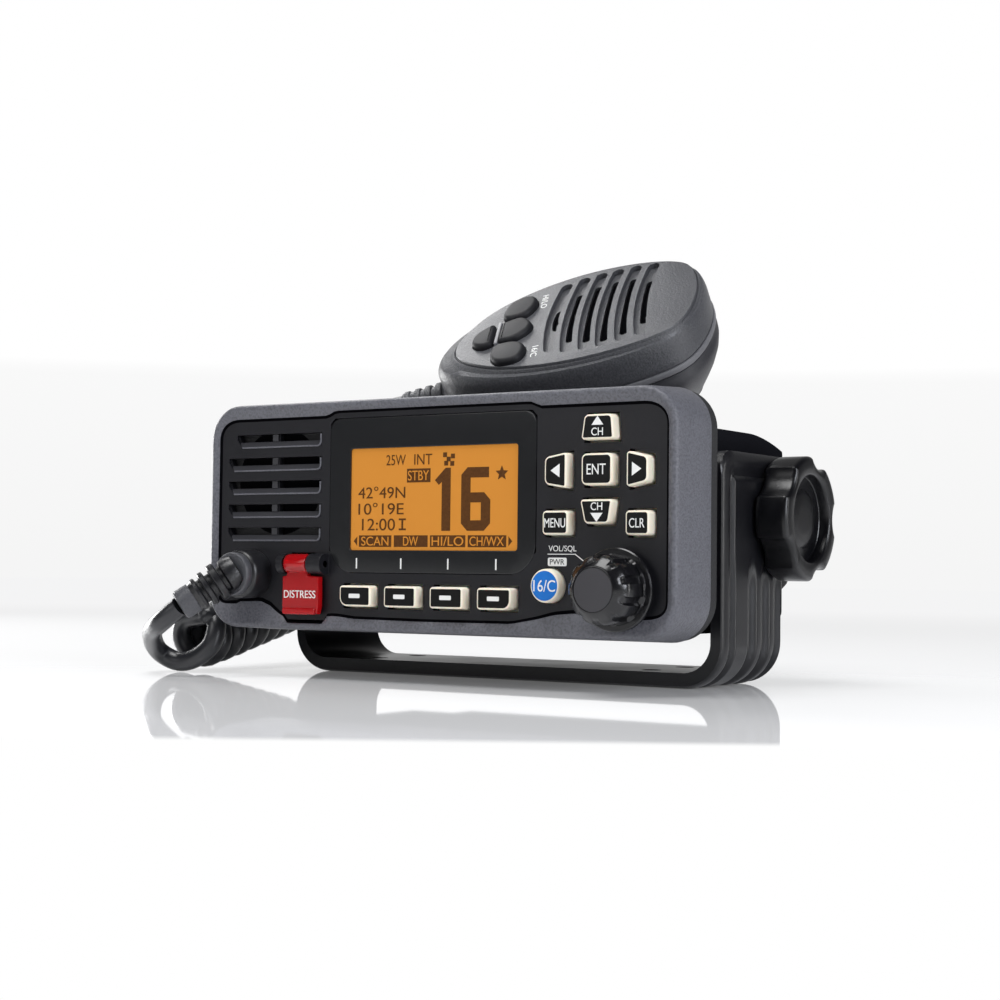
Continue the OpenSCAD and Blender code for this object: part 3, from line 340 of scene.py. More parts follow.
table = Finish(
    "table", (0.9, 0.9, 0.905), 0.03, Specular_IOR_Level=0.45, Emission_Strength=0.08, Emission_Color=(1, 1, 1, 1))
table.set("Roughness", 0.02 + 0.02 * table.grain(0.2))
spot = table.node("ShaderNodeTexCoord", output="Object")
far = table.node("ShaderNodeVectorMath", {"operation": "LENGTH"}, spot, output="Value")
beyond = table.ease(far, 0.3, 1.1, kind="SMOOTHSTEP")
haze = table.node("ShaderNodeEmission", None, (0.905, 0.905, 0.91, 1))
away = table.node(
    "ShaderNodeVectorMath", {"operation": "DOT_PRODUCT"}, spot, (-0.5461, 0.8377, 0), output="Value")
apron = table.ease(away, -0.198, -0.21, kind="SMOOTHSTEP")
white = table.node("ShaderNodeEmission", None, (1, 1, 1, 1))
hazed = table.mix(beyond, Value(table, table.shader.outputs[0]), haze)
table.put(table.tree.nodes["Material Output"].inputs["Surface"], table.mix(apron, hazed, white))
floor = bpy.data.meshes.new("floor")
floor.from_pydata([(-3, -2, 0), (3, -2, 0), (3, 3, 0), (-3, 3, 0)], [], [(0, 1, 2, 3)])
floor.materials.append(table.material)
add_object("floor", floor)

world = bpy.data.worlds.new("backdrop")
world.use_nodes = True
bpy.context.scene.world = world
sky = Nodes(world.node_tree)
lit = sky.tree.nodes["Background"]
lit.inputs["Color"].default_value = (0.9, 0.93, 1, 1)
lit.inputs["Strength"].default_value = 0.28
direction = sky.node("ShaderNodeTexCoord", output="Generated")
x, y, z = (sky.node("ShaderNodeSeparateXYZ", None, direction, output=axis) for axis in "XYZ")
height = sky.node("ShaderNodeValToRGB", None, z)
ramp = height.socket.node.color_ramp.elements
ramp.new(0.1045)
for stop, place, grey in zip(ramp, (0, 0.1045, 0.107), (0.913, 0.945, 1)):
    stop.position, stop.color = place, (grey, grey, grey, 1)
seen = sky.node("ShaderNodeBackground", Color=height)
dimmed = sky.ease(y, -0.1, 0.45, 0.13, 0.94) * sky.ease(x, 0.3, -0.15, 0.15, 1) * sky.ease(z, 0.5, 0.32, 0.3, 1)
room = sky.node("ShaderNodeBackground", Strength=dimmed)
to_camera, glossy, through = (
    sky.node("ShaderNodeLightPath", output=f"Is {kind} Ray") for kind in ("Camera", "Glossy", "Transmission"))
unseen = sky.mix(glossy.math("MAXIMUM", through), Value(sky, lit.outputs[0]), room)
sky.put(sky.tree.nodes["World Output"].inputs["Surface"], sky.mix(to_camera, unseen, seen))

soft_box("top_box", (-0.05, -0.3, 0.9), (0, 0, 0.05), (0.5, 0.5), 6)
soft_box("back_box", (-0.36, 0.15, 0.49), (-0.04, 0, 0.1), (0.25, 0.25), 1.2)
soft_box("left_box", (-0.7, 0.08, 0.12), (-0.08, -0.05, 0.03), (0.25, 0.35), 3)
soft_box("edge_box", (0.85, 0.28, 0.12), (0.05, 0, 0.03), (0.12, 0.5), 1.2)
soft_box("right_box", (0.95, -0.3, 0.4), (0.05, 0, 0.05), (0.3, 0.6), 6.5, (0.9, 0.93, 1))
soft_box("front_box", (-0.3, -0.9, 0.45), (0, 0, 0.05), (0.6, 0.5), 2)


# ---- Bezel ----
# The radio's front frame: one moulding in spark-eroded charcoal plastic, its sides drafted
# towards a rounded front ridge. Four screws from behind hold it and the panel to the case.
BEZEL_WIDTH, BEZEL_HEIGHT = 156.5, 66.5
CORNER = 11
# How far the frame's inner edge stands in from its outline, as (x, amount) below and above.
CHIN = [
    (-72, 1), (-69, 3.4), (-66, 5), (-58, 5.3), (-54.5, 4), (-51.5, 1.7), (-49.8, 1.2), (-48.6, -1.2),
    (-34.8, -1.2), (-33.6, 1.2), (-31, 1.3), (-24, 0.6), (0, 0.35), (28, 0.5), (36, 2), (41, 3.3), (47, 3.9),
    (66, 3.4), (69, 1.5), (72, 0.4)]
BROW = [(-34.4, 1.4), (-31.6, 0), (33.4, 0), (36.6, 1.3)]


def bumpy(places, x):
    """Straight lines through (x, amount) places, held at both ends."""
    for (x0, h0), (x1, h1) in zip(places, places[1:]):
        if x <= x1:
            return h0 + (h1 - h0) * max(0, (x - x0) / (x1 - x0))
    return places[-1][1]


def outline(inset, shaped=0):
    """Points round the bezel's outline, moved in by inset. The lower and upper edges follow the
    chin and the brow as far as shaped says, from 0 to 1."""
    half, radius = BEZEL_WIDTH / 2 - CORNER, CORNER - inset
    count = round(2 * half / 1.6)
    across = [half * (2 * i / count - 1) for i in range(count + 1)]
    side = [CORNER + (BEZEL_HEIGHT - 2 * CORNER) * i / 20 for i in range(21)]
    turn = [(math.sin(a), math.cos(a)) for a in (i / 10 * math.pi / 2 for i in range(1, 10))]
    ring = []
    for way, near, far, low, high in ((1, 0, BEZEL_HEIGHT, CHIN, BROW), (-1, BEZEL_HEIGHT, 0, BROW, CHIN)):
        first, second = (shaped * bumpy(line, way * half) for line in (low, high))
        ring += [(way * x, near + way * (inset + shaped * bumpy(low, way * x))) for x in across]
        ring += [(way * (half + radius * s), near + way * (CORNER - (radius - first * c) * c)) for s, c in turn]
        ring += [(way * (half + radius), near + way * z) for z in side]
        ring += [(way * (half + radius * c), far - way * (CORNER - (radius - second * s) * s)) for s, c in turn]
    return ring


def skin(bm, rings, closed=False):
    """Faces between rings of places in radio millimetres. Both ends are filled, unless the last
    ring joins the first."""
    rows = [[bm.verts.new(at(*place)) for place in ring] for ring in rings]
    for a, b in zip(rows, rows[1:] + (rows[:1] if closed else [])):
        for i in range(len(a)):
            j = (i + 1) % len(a)
            bm.faces.new((a[i], a[j], b[j], b[i]))
    if not closed:
        bm.faces.new(rows[0])
        bm.faces.new(rows[-1])


def settle(name, bm, material, soft=True):
    """Turns finished geometry into an object at the origin."""
    bmesh.ops.remove_doubles(bm, verts=bm.verts, dist=2e-7)
    bmesh.ops.recalc_face_normals(bm, faces=bm.faces)
    mesh = bpy.data.meshes.new(name)
    bm.to_mesh(mesh)
    bm.free()
    mesh.materials.append(material)
    if soft:
        mesh.shade_smooth()
        mesh.set_sharp_from_angle(angle=math.radians(40))
    return add_object(name, mesh)


def make(name, rings, material, closed=False):
    bm = bmesh.new()
    skin(bm, rings, closed)
    return settle(name, bm, material)


def bezel_band(name, levels, material):
    """A closed band through the bezel's outline at (y, inset, shaped)."""
    rings = [[(x, y, z) for x, z in outline(inset, shaped)] for y, inset, shaped in levels]
    return make(name, rings, material, closed=True)


charcoal = textured("charcoal plastic", (0.068, 0.069, 0.08), 0.46, lump=0.00065, depth=0.0002, speckle=4.5)
assign(bezel_band("bezel_frame", (
    (17.6, 0.6, 0), (17.35, 0.15, 0), (16.9, 0, 0), (11, 0.38, 0), (5, 0.72, 0), (1.5, 0.93, 0), (0.75, 1.08, 0),
    (0.28, 1.42, 0), (0.05, 1.85, 0), (0, 2.2, 0), (0.12, 2.6, 0.05), (0.45, 3.15, 0.45), (0.75, 3.6, 0.8),
    (0.95, 3.85, 0.97), (1.28, 3.95, 1), (1.28, 4, 1), (1.3, 2.9, 0), (1.4, 2.8, 0), (17.4, 2.8, 0),
    (17.6, 2.7, 0)), charcoal), "radio", node="bezel")


# ---- Front panel and gasket ----
# One dark satin moulding behind the bezel, with louvred openings for the speaker and the
# wells of the display and keys, and a black foam gasket where the bezel meets the case.
def softened(name, node, material, edge, segments):
    """A merged copy of a CAD node with its edges rounded, which stands for the node."""
    bm = bmesh.new()
    bm.from_mesh(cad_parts[node].data)
    bmesh.ops.remove_doubles(bm, verts=bm.verts, dist=5e-6)
    bmesh.ops.dissolve_limit(bm, angle_limit=math.radians(0.6), verts=bm.verts, edges=bm.edges)
    mesh = bpy.data.meshes.new(name)
    bm.to_mesh(mesh)
    bm.free()
    mesh.materials.append(material)
    made = add_object(name, mesh)
    bevel = made.modifiers.new("edges", "BEVEL")
    bevel.width = edge * MM
    bevel.segments = segments
    bevel.limit_method = "ANGLE"
    bevel.angle_limit = math.radians(25)
    bevel.harden_normals = True
    mesh.shade_smooth()
    mesh.set_sharp_from_angle(angle=math.radians(25))
    return assign(made, "radio", node=node)


def bar(x0, x1, z0, z1):
    return [(x0, z0), (x1, z0), (x1, z1), (x0, z1)]


def thicken(bm, way):
    """Gives flat faces a thickness along a vector in millimetres."""
    made = bmesh.ops.extrude_face_region(bm, geom=bm.faces[:])
    moved = [part for part in made["geom"] if isinstance(part, bmesh.types.BMVert)]
    bmesh.ops.translate(bm, verts=moved, vec=Vector(way) * MM)


def prism(name, points, y0, y1, material, edge=0.0, segments=2, hole=None):
    """A flat outline in x and z (radio millimetres), with or without a hole, as thick as from y0
    back to y1. Its large faces are kept flat to the eye beside the rounded front edge."""
    bm = bmesh.new()
    rings = [[bm.verts.new(at(x, y0, z)) for x, z in line] for line in (points, hole) if line]
    if hole:
        edges = [bm.edges.new((ring[i], ring[(i + 1) % len(ring)])) for ring in rings for i in range(len(ring))]
        bmesh.ops.triangle_fill(bm, use_beauty=True, edges=edges)
    else:
        bm.faces.new(rings[0])
    thicken(bm, (0, y1 - y0, 0))
    if edge:
        front = at(0, y0, 0).y
        rim = [e for e in bm.edges if all(abs(v.co.y - front) < 1e-7 for v in e.verts)
               and any(abs(f.normal.y) < 0.5 for f in e.link_faces)]
        bmesh.ops.bevel(
            bm, geom=rim, offset=edge * MM, offset_type="OFFSET", segments=segments, profile=0.5, affect="EDGES",
            material=-1)
    piece = settle(name, bm, material)
    piece.modifiers.new("flat", "WEIGHTED_NORMAL").keep_sharp = True
    return piece


def round_corners(points, radii, steps=6):
    """The outline with an arc in place of each corner; one radius or one for each corner."""
    out = []
    radii = radii if isinstance(radii, (list, tuple)) else [radii] * len(points)
    for i, radius in enumerate(radii):
        here, back, on = Vector(points[i]), Vector(points[i - 1]), Vector(points[(i + 1) % len(points)])
        a, b = (back - here).normalized(), (on - here).normalized()
        half = a.angle(b) / 2
        reach = radius / math.tan(half)
        middle = here + (a + b).normalized() * radius / math.sin(half)
        start, end = here + a * reach - middle, here + b * reach - middle
        for k in range(steps + 1):
            way = start.lerp(end, k / steps)
            if way.length > 1e-9:
                out.append(tuple(middle + way.normalized() * radius))
    return out


def bead(name, path, radius, material):
    """A thin round bar along places in radio millimetres, sunk halfway into the panel."""
    rings = []
    back = Vector((0, 1, 0))
    for i, place in enumerate(path):
        side = (Vector(path[min(i + 1, len(path) - 1)]) - Vector(path[max(i - 1, 0)])).cross(back).normalized()
        rings.append([
            tuple(Vector(place) + (side * math.cos(a) + back * math.sin(a)) * radius)
            for a in (k * math.pi / 5 for k in range(10))])
    return make(name, rings, material)


panel_black = textured(
    "panel plastic", (0.0068, 0.0068, 0.009), 0.4, lump=0.0005, depth=0.00002, Specular_IOR_Level=0.3)
softened("speaker_and_key_panel", "front_panel", panel_black, 0.22, 2)
foam = textured("foam gasket", (0.008, 0.008, 0.009), 0.7, lump=0.0006, depth=0.00015)
softened("front_seal", "front_gasket", foam, 0.5, 3)

# A black sheet behind the openings hides the speaker and keeps them dark: painted shade.
# Each opening has a slanted strip below it, which catches the light along its front edge.
# The strip and the post in the opening are drawn in a lighter grey than the panel, as painted
# light, and the thin bar along that edge in the bezel's lighter charcoal is a painted highlight.
assign(prism("speaker_shade_sheet", bar(-72.2, -36.4, 26, 58.2), 4.31, 4.5, foam), "radio")
# Panel plastic drawn in a lighter grey for the strips and posts: painted light.
painted_light_ledge_grey = textured("ledge plastic with painted light", (0.026, 0.026, 0.03), 0.35, lump=0.0005, depth=0.00002)
for i in range(5):
    top = 56.9 - 6.75 * i
    left, right = (-68.3 if i == 0 else -71.3), -37.0
    strip = prism(f"louvre_{i + 1}", bar(left + 0.9, right, top - 3.7, top - 2.15), 1.34, 2.3, painted_light_ledge_grey)
    for v in strip.data.vertices:
        if v.co.z > at(0, 0, top - 3)[2] and v.co.y < at(0, 2, 0)[1]:
            v.co.y = at(0, 2.2, 0)[1]
    corner = [
        (right - 1.3 + 1.3 * math.sin(a), 1.28, top - 2.45 - 1.3 * math.cos(a))
        for a in (k * math.pi / 16 for k in range(9))]
    ridge_path = [(left + 2.2, 1.28, top - 3.75), (-50, 1.28, top - 3.75), *corner, (right, 1.28, top - 0.4)]
    # The bar is drawn in the bezel's lighter charcoal: a painted highlight along the edge.
    ridge = bead(f"louvre_edge_{i + 1}", ridge_path, 0.24, charcoal)
    corner_fill = [(left - 0.1, top - 3.9), (left + 2.0, top - 3.9), (left - 0.1, top - 1.2)]
    wedge = prism(f"louvre_end_{i + 1}", corner_fill, 1.31, 2.3, panel_black)
    post = prism(f"louvre_post_{i + 1}", bar(-55.2, -53.2, top - 2.05, top - 0.1), 1.9, 2.1, painted_light_ledge_grey)
    for piece in (strip, ridge, wedge, post):
        assign(piece, "radio")
shadow_black = smooth(
    "groove black", (0.0015, 0.0015, 0.002), 0.7, tint=(0.5, (0.004, 0.004, 0.005), 0.001), Specular_IOR_Level=0.0)
groove_levels = ((0.84, 3.74, 0.93), (1.16, 4.4, 1), (1.29, 4.4, 1), (1.1, 3.74, 0.93))
assign(bezel_band("bezel_groove", groove_levels, shadow_black), "radio")


# ---- Display ----
# A smoked flat window with a printed black frame, over a liquid-crystal glass that is lit
# amber from behind. Its picture is thin dark shapes and words on the glass.
PICTURE_LEFT, PICTURE_LOW, PICTURE_WIDTH, PICTURE_HEIGHT = -26.2, 23.5, 55.6, 28.3
PICTURE_FRONT = 1.7
GLOW = {"Specular_IOR_Level": 0.1, "Emission_Strength": 0.24, "Emission_Color": (0.9, 0.36, 0.045, 1)}
picture_edge = round_corners(bar(
    PICTURE_LEFT, PICTURE_LEFT + PICTURE_WIDTH, PICTURE_LOW, PICTURE_LOW + PICTURE_HEIGHT), 0.7, 3)
window_shape = round_corners(bar(-33.4, 35.2, 17.2, 60.5), [8.2, 8.2, 3.4, 3.4], 8)
window_glass = smooth(
    "smoked window", (0.0125, 0.013, 0.014), 0.12, sheen=(0.12, 0.06, 0.004), Specular_IOR_Level=0.35)
window = prism("display_window", window_shape, 1.12, 2.85, window_glass, 0.28, hole=picture_edge)
assign(window, "radio", node="lens")
amber = smooth("lit display", (0.36, 0.14, 0.02), 0.5, tint=(0.4, (0.42, 0.17, 0.028), 0.02, 1.0), **GLOW)
dress("display_module", amber)
assign(prism("display_picture", picture_edge, 1.75, 2.5, amber), "radio")


def lettering(name, text, tall, wide, thickness, material, place):
    """Lettering as thin raised mesh; place takes what lies right of, above and in front of its
    middle to a place in the model."""
    curve = bpy.data.curves.new(name, "FONT")
    curve.body = text
    curve.align_x = curve.align_y = "CENTER"
    curve.extrude = thickness / 2
    mesh = mesh_of_curve(name, curve)
    (x0, x1), (y0, y1) = ((min(row), max(row)) for row in zip(*(v.co.xy for v in mesh.vertices)))
    for v in mesh.vertices:
        v.co = place(
            (v.co.x - (x0 + x1) / 2) * wide / (x1 - x0), (v.co.y - (y0 + y1) / 2) * tall / (y1 - y0), v.co.z)
    mesh.materials.clear()
    mesh.materials.append(material)
    return add_object(name, mesh)


def words(name, text, x, z, tall, wide, y, material, slot, body="radio"):
    """Printed or lit lettering whose middle is at x and z."""
    made = lettering(name, text, tall, wide, 0.06, material, lambda a, b, c: at(x + a, y - c, z + b))
    return assign(made, body)


def cells(name, shapes, y, material, body="radio", thickness=0.05):
    """Flat closed outlines in x and z as one thin piece."""
    bm = bmesh.new()
    for points in shapes:
        bm.faces.new([bm.verts.new(at(x, y, z)) for x, z in points])
    thicken(bm, (0, thickness, 0))
    return assign(settle(name, bm, material, soft=False), body)


def picture_words(rows, y, material):
    for name, text, x, z, tall, wide in rows:
        words(f"display_{name}", text, PICTURE_LEFT + x, PICTURE_LOW + z, tall, wide, y, material, "display")


def picture_cells(name, shapes):
    placed = [[(PICTURE_LEFT + x, PICTURE_LOW + z) for x, z in shape] for shape in shapes]
    cells(f"display_{name}", placed, PICTURE_FRONT, dark_dots)


dark_dots = smooth(
    "dark display dots", (0.06, 0.022, 0.005), 0.5, tint=(0.7, (0.13, 0.05, 0.012), 0.0006, 1.0),
    Specular_IOR_Level=0.1)
lit_dots = smooth("lit display dots", (0.36, 0.14, 0.02), 0.5, tint=(0.3, (0.42, 0.17, 0.028), 0.002), **GLOW)
picture_words((
    ("power_level", "25W", 15.4, 24.9, 2.9, 6.6), ("source", "INT", 24.6, 24.9, 2.9, 6.0),
    ("latitude", "42°49N", 10.6, 16.0, 3.3, 16.2), ("longitude", "10°19E", 10.4, 11.5, 3.3, 15.6),
    ("time", "12:00", 9.6, 7.1, 3.3, 11.4)), PICTURE_FRONT, dark_dots)
clock_mark = [bar(16.6, 19.0, 5.5, 6.0), bar(16.6, 19.0, 8.25, 8.75), bar(17.5, 18.1, 6.0, 8.25)]
one = [(30.9, 5.3), (33.8, 5.3), (33.8, 22.4), (32.1, 22.4), (28.6, 19.1), (29.9, 17.8), (30.9, 18.6)]
six = [
    (39.3, 5.3), (44.7, 5.3), (46.7, 7.3), (46.7, 13.6), (44.7, 15.6), (40.3, 15.6), (40.3, 12.9), (43.7, 12.9),
    (43.7, 8.1), (40.3, 8.1), (40.3, 19.6), (46.2, 19.6), (46.2, 22.4), (39.3, 22.4), (37.3, 20.4), (37.3, 7.3)]
picture_cells("channel", [*clock_mark, one, six])
star = [
    (50.3 + radius * math.sin(k * math.pi / 5), 20.6 + radius * math.cos(k * math.pi / 5))
    for k, radius in enumerate([2.1, 0.95] * 5)]
satellite = [
    bar(x, x + 1.3, z, z + 1.3) for x, z in ((31.2, 25.3), (32.4, 24.1), (33.6, 22.9), (33.8, 24.9), (31.6, 23.0))]
boxes = [bar(x0, x1, 0.9, 4.1) for x0, x1 in ((2.9, 14.1), (15.0, 26.4), (27.2, 38.8), (39.6, 51.9))]
arrows = [[(2.3, 1.2), (2.3, 3.8), (1.1, 2.5)], [(52.6, 3.8), (52.6, 1.2), (53.8, 2.5)]]
picture_cells("boxes", [star, *satellite, *boxes, *arrows, bar(19.2, 27.1, 18.6, 22.4)])
picture_words((
    ("first", "SCAN", 8.5, 2.5, 2.5, 9.4), ("second", "DW", 20.7, 2.5, 2.5, 5.0),
    ("third", "HI/LO", 33.0, 2.5, 2.5, 10.4), ("fourth", "CH/WX", 45.7, 2.5, 2.5, 11.0),
    ("state", "STBY", 23.1, 20.5, 2.7, 7.0)), PICTURE_FRONT - 0.06, lit_dots)
white_print = smooth("white print", (0.78, 0.78, 0.76), 0.5, tint=(0.35, (0.6, 0.6, 0.58), 0.0012))
ticks = [bar(x - 0.22, x + 0.22, 18.35, 21.25) for x in (-23.6, -8.3, 7.4, 22.9)]
cells("window_marks", ticks, 1.1, white_print, thickness=0.04)


# ---- Keys ----
# Silicone keys: an ivory body that lights through, a thin ivory rim round a black printed
# face, and a white legend. Their flanges are held between the panel and the board.
KEY_FRONT = -1.5
FLANGE = ((5.2, -0.75), (4.6, -0.7), (4.55, 0))
SQUARE_EDGE = ((0.9, 0.04), (KEY_FRONT + 0.45, 0.12), (KEY_FRONT + 0.15, 0.22), (KEY_FRONT, 0.42), (KEY_FRONT, 0.62))
ROUND_EDGE = ((0.9, 0.02), (KEY_FRONT + 0.5, 0.1), (KEY_FRONT + 0.15, 0.25), (KEY_FRONT, 0.5), (KEY_FRONT, 0.6))
ivory = smooth(
    "ivory rubber", (0.8, 0.72, 0.58), 0.45, bump=(0.0003, 0.00001), tint=(0.5, (0.86, 0.8, 0.68), 0.004),
    Subsurface_Weight=0.15, Subsurface_Scale=0.002)
key_black = smooth(
    "key face black", (0.0025, 0.0025, 0.0025), 0.4, bump=(0.00035, 0.000012), sheen=(0.34, 0.1, 0.003),
    Specular_IOR_Level=0.2)


def inside(points, amount):
    """An outline moved inwards by an amount along the bisector of each corner."""
    out = []
    for i, point in enumerate(points):
        here, back, on = Vector(point), Vector(points[i - 1]), Vector(points[(i + 1) % len(points)])
        a, b = (here - back).normalized(), (on - here).normalized()
        normal_a, normal_b = Vector((-a.y, a.x)), Vector((-b.y, b.x))
        way = (normal_a + normal_b).normalized()
        out.append(tuple(here + way * amount / max(0.3, way.dot(normal_a))))
    return out


def circle(x, z, radius, steps):
    angles = [k / steps * 2 * math.pi for k in range(steps)]
    return [(x + radius * math.cos(a), z + radius * math.sin(a)) for a in angles]


def key(node, shape, edge=SQUARE_EDGE, face=key_black, bevel=(0.06, 1)):
    """A key with its flange, rounded front edge, rim and sunk printed face, on its own body."""
    rings = [[(x, y, z) for x, z in inside(shape, amount)] for y, amount in (*FLANGE, *edge)]
    assign(make(f"{node}_rubber", rings, ivory), node, node=node)
    pad = inside(shape, edge[-1][1])
    assign(prism(f"{node}_face", pad, KEY_FRONT - 0.07, KEY_FRONT + 0.2, face, *bevel), node)


def mark(node, shape):
    cells(f"{node}_mark", [shape], KEY_FRONT - 0.1, white_print, node)


def legend(node, *text_and_place):
    words(f"{node}_legend", *text_and_place, KEY_FRONT - 0.1, white_print, "ivory_rubber", node)


for i in range(4):
    x = -27.6 + 15.35 * i
    corners = [2.6 if i == 0 else 1, 2.6 if i == 3 else 1, 1, 1]
    key(f"soft_key_{i + 1}", round_corners(bar(x, x + 11, 7.7, 13.7), corners))
    mark(f"soft_key_{i + 1}", round_corners(bar(x + 3.5, x + 7.3, 10.15, 11.35), 0.25, 3))
for node, shape, corners, arrow, text in (
    ("key_up", [(50.1, 51.9), (60.1, 51.9), (59.5, 58.6), (51.1, 58.6)], [0.9, 0.9, 1.5, 1.5],
     [(53.4, 55.7), (56.9, 55.7), (55.15, 58)], ("CH", 55.1, 54.0, 2.0, 3.4)),
    ("key_down", [(51.4, 30.3), (58.7, 30.3), (59.8, 36.8), (49.9, 36.8)], [1.5, 1.5, 0.9, 0.9],
     [(53.3, 33.2), (55.1, 30.9), (56.9, 33.2)], ("CH", 55.1, 34.9, 2.0, 3.4)),
    ("key_left", [(39.2, 40.6), (46.1, 39.5), (46.1, 49.1), (39.2, 47.9)], [1.8, 0.9, 0.9, 1.8],
     [(41.3, 44.25), (44.0, 42.5), (44.0, 46.0)], None),
    ("key_right", [(63.5, 39.5), (70, 40.9), (70, 47.6), (63.5, 49.1)], [0.9, 1.8, 1.8, 0.9],
     [(65.3, 42.5), (68.0, 44.25), (65.3, 46.0)], None),
    ("key_enter", bar(50.3, 59.6, 40.2, 48.6), 1.6, None, ("ENT", 54.9, 44.4, 2.7, 5.6)),
    ("key_menu", bar(38.7, 46.7, 27.5, 34), 1.2, None, ("MENU", 42.7, 30.7, 2.4, 6.3)),
    ("key_clear", bar(63.3, 70.4, 27.4, 33.9), 1.2, None, ("CLR", 66.8, 30.6, 2.4, 4.4)),
):
    key(node, round_corners(shape, corners))
    if arrow:
        mark(node, arrow)
    if text:
        legend(node, *text)

# The round key comes from the same mould, with a blue printed face.
blue = smooth(
    "key face blue", (0.003, 0.12, 0.47), 0.36, bump=(0.0004, 0.00001), tint=(0.4, (0.012, 0.22, 0.66), 0.003),
    Specular_IOR_Level=0.3)
key("key_16", circle(39.7, 14.4, 4.5, 48), ROUND_EDGE, blue, (0.08, 2))
legend("key_16", "16/C", 39.7, 14.4, 3.0, 6.6)

# Printed beside the dial: what it sets, and a filled box for its push.
PRINT_FRONT = 1.24
words("dial_words", "VOL/SQL", 43.4, 24.0, 1.75, 8.4, PRINT_FRONT, white_print, "ivory_rubber")
pointer = [(47.2, 22.55), (49.9, 20.7), (50.0, 20.9), (47.25, 22.78)]
push_box = round_corners(bar(39.0, 44.7, 19.55, 21.75), 0.4, 3)
cells("dial_print", [bar(38.9, 47.2, 22.55, 22.75), pointer, push_box], PRINT_FRONT, white_print)
dark_print = smooth("dark print", (0.02, 0.02, 0.022), 0.5, tint=(0.5, (0.03, 0.03, 0.032), 0.002))
words("dial_push_word", "PWR", 41.85, 20.65, 1.45, 4.4, PRINT_FRONT - 0.04, dark_print, "panel_plastic")


# ---- Volume dial ----
# A moulded gloss-black knob pushed on a steel shaft: ten raised grips, a slotted step behind
# them, a smooth skirt, and a flat satin cap glued in its front.
DIAL_X, DIAL_Z = 60.8, 13.7
TOWARDS_BACK = Matrix.Rotation(math.radians(90), 4, "X") @ Matrix.Diagonal((1, 1, -1, 1))
gloss_black = smooth(
    "gloss black plastic", (0.005, 0.005, 0.006), 0.22, bump=(0.0025, 0.00001), sheen=(0.17, 0.08, 0.004))
cap_grey = textured("dial cap plastic", (0.027, 0.026, 0.03), 0.5, lump=0.0003, depth=0.00002)


def spun(name, profile, start, turn, material, steps=96):
    """A profile of (radius, place along the axis) spun round an axis from start, turned by a matrix."""
    bm = bmesh.new()
    row = [bm.verts.new(Vector((radius, 0, along)) * MM) for radius, along in profile]
    edges = [bm.edges.new(pair) for pair in zip(row, row[1:])]
    bmesh.ops.spin(
        bm, geom=[*bm.verts, *edges], cent=(0, 0, 0), axis=(0, 0, 1), angle=2 * math.pi, steps=steps, use_merge=True)
    bmesh.ops.transform(bm, matrix=Matrix.Translation(at(*start)) @ turn, verts=bm.verts)
    return settle(name, bm, material)


def dial_ring(y, radius, lobe):
    """One lobe for each of the ten grips, with soft valleys between them."""
    ring = []
    for k in range(240):
        angle = k / 240 * 2 * math.pi
        dip = max(0, min(1, (math.cos(10 * angle) + 0.62) / 0.34))
        r = radius - lobe * (1 - dip * dip * (3 - 2 * dip))
        ring.append((DIAL_X + r * math.cos(angle), y, DIAL_Z + r * math.sin(angle)))
    return ring


dial_levels = (
    (-0.9, 10.7, 0), (-1.9, 10.7, 0), (-2.2, 10.4, 0), (-2.25, 9.2, 0), (-3.0, 8.95, 0.5), (-3.1, 8.2, 0),
    (-3.7, 8.2, 0), (-3.8, 8.95, 0.75), (-4.2, 9.0, 0.85), (-9.3, 8.85, 0.85), (-10.3, 8.6, 0.75),
    (-10.9, 8.2, 0.45), (-11.6, 7.5, 0.1), (-12.2, 6.9, 0), (-12.6, 6.4, 0), (-12.85, 6.1, 0), (-13, 5.8, 0),
    (-13, 5.65, 0), (-12.8, 5.62, 0))
dial = make("dial_grip", [dial_ring(*numbers) for numbers in dial_levels], gloss_black)
assign(dial, "dial", "volume_dial")
cap_profile = [(0, -12.99), (5.2, -12.99), (5.45, -12.95), (5.55, -12.8), (5.55, -12.2), (0, -12.2)]
cap = spun("dial_face", cap_profile, (DIAL_X, 0, DIAL_Z), TOWARDS_BACK, cap_grey)
assign(cap, "dial", node="dial_cap")


# ---- Distress flap ----
# A spring-loaded flap of clear red plastic over the distress button. Its barrel turns on a
# steel pin between two black knuckles of the panel.
HINGE = (-0.4, 19.5)
clear_red = smooth(
    "clear red plastic", (0.62, 0.006, 0.01), 0.1, sheen=(0.09, 0.06, 0.003), Transmission_Weight=0.55, IOR=1.45)
red_paint = smooth(
    "red plastic", (0.42, 0.01, 0.012), 0.35, sheen=(0.3, 0.12, 0.002), tint=(0.4, (0.3, 0.006, 0.008), 0.004))


def round_the_pin(name, ends, material):
    """A barrel round the hinge's pin through (x, radius) ends."""
    return make(name, [[(x, y, z) for y, z in circle(*HINGE, radius, 36)] for x, radius in ends], material)


barrel = round_the_pin("flap_barrel", (
    (-46.9, 1.15), (-46.88, 2.3), (-46.6, 2.65), (-46.0, 2.78), (-39.8, 2.78), (-39.1, 2.65), (-38.82, 2.3),
    (-38.8, 1.15)), clear_red)
assign(barrel, "flap", "distress_flap")
plate_shape = [
    (-47.6, 5.3), (-35.6, 5.3), (-35.1, 7.5), (-35.1, 15.9), (-39.2, 16.2), (-39.2, 18), (-46.5, 18), (-46.5, 16.2),
    (-48.1, 15.9), (-48.1, 7.5)]
lip_shape = [(-47.3, 5.2), (-35.9, 5.2), (-35.6, 7.0), (-47.6, 7.0)]
for name, shape, corner, y0, y1, edge in (
    ("flap_plate", plate_shape, 0.45, -1.55, 0.45, 0.35), ("flap_lip", lip_shape, 0.5, -2.35, -1.5, 0.3),
):
    assign(prism(name, round_corners(shape, corner, 3), y0, y1, clear_red, edge, 3), "flap")
words("flap_word", "DISTRESS", -41.6, 10.9, 2.15, 11.4, -1.62, white_print, "ivory_rubber", "flap")
dress("distress_button", red_paint)
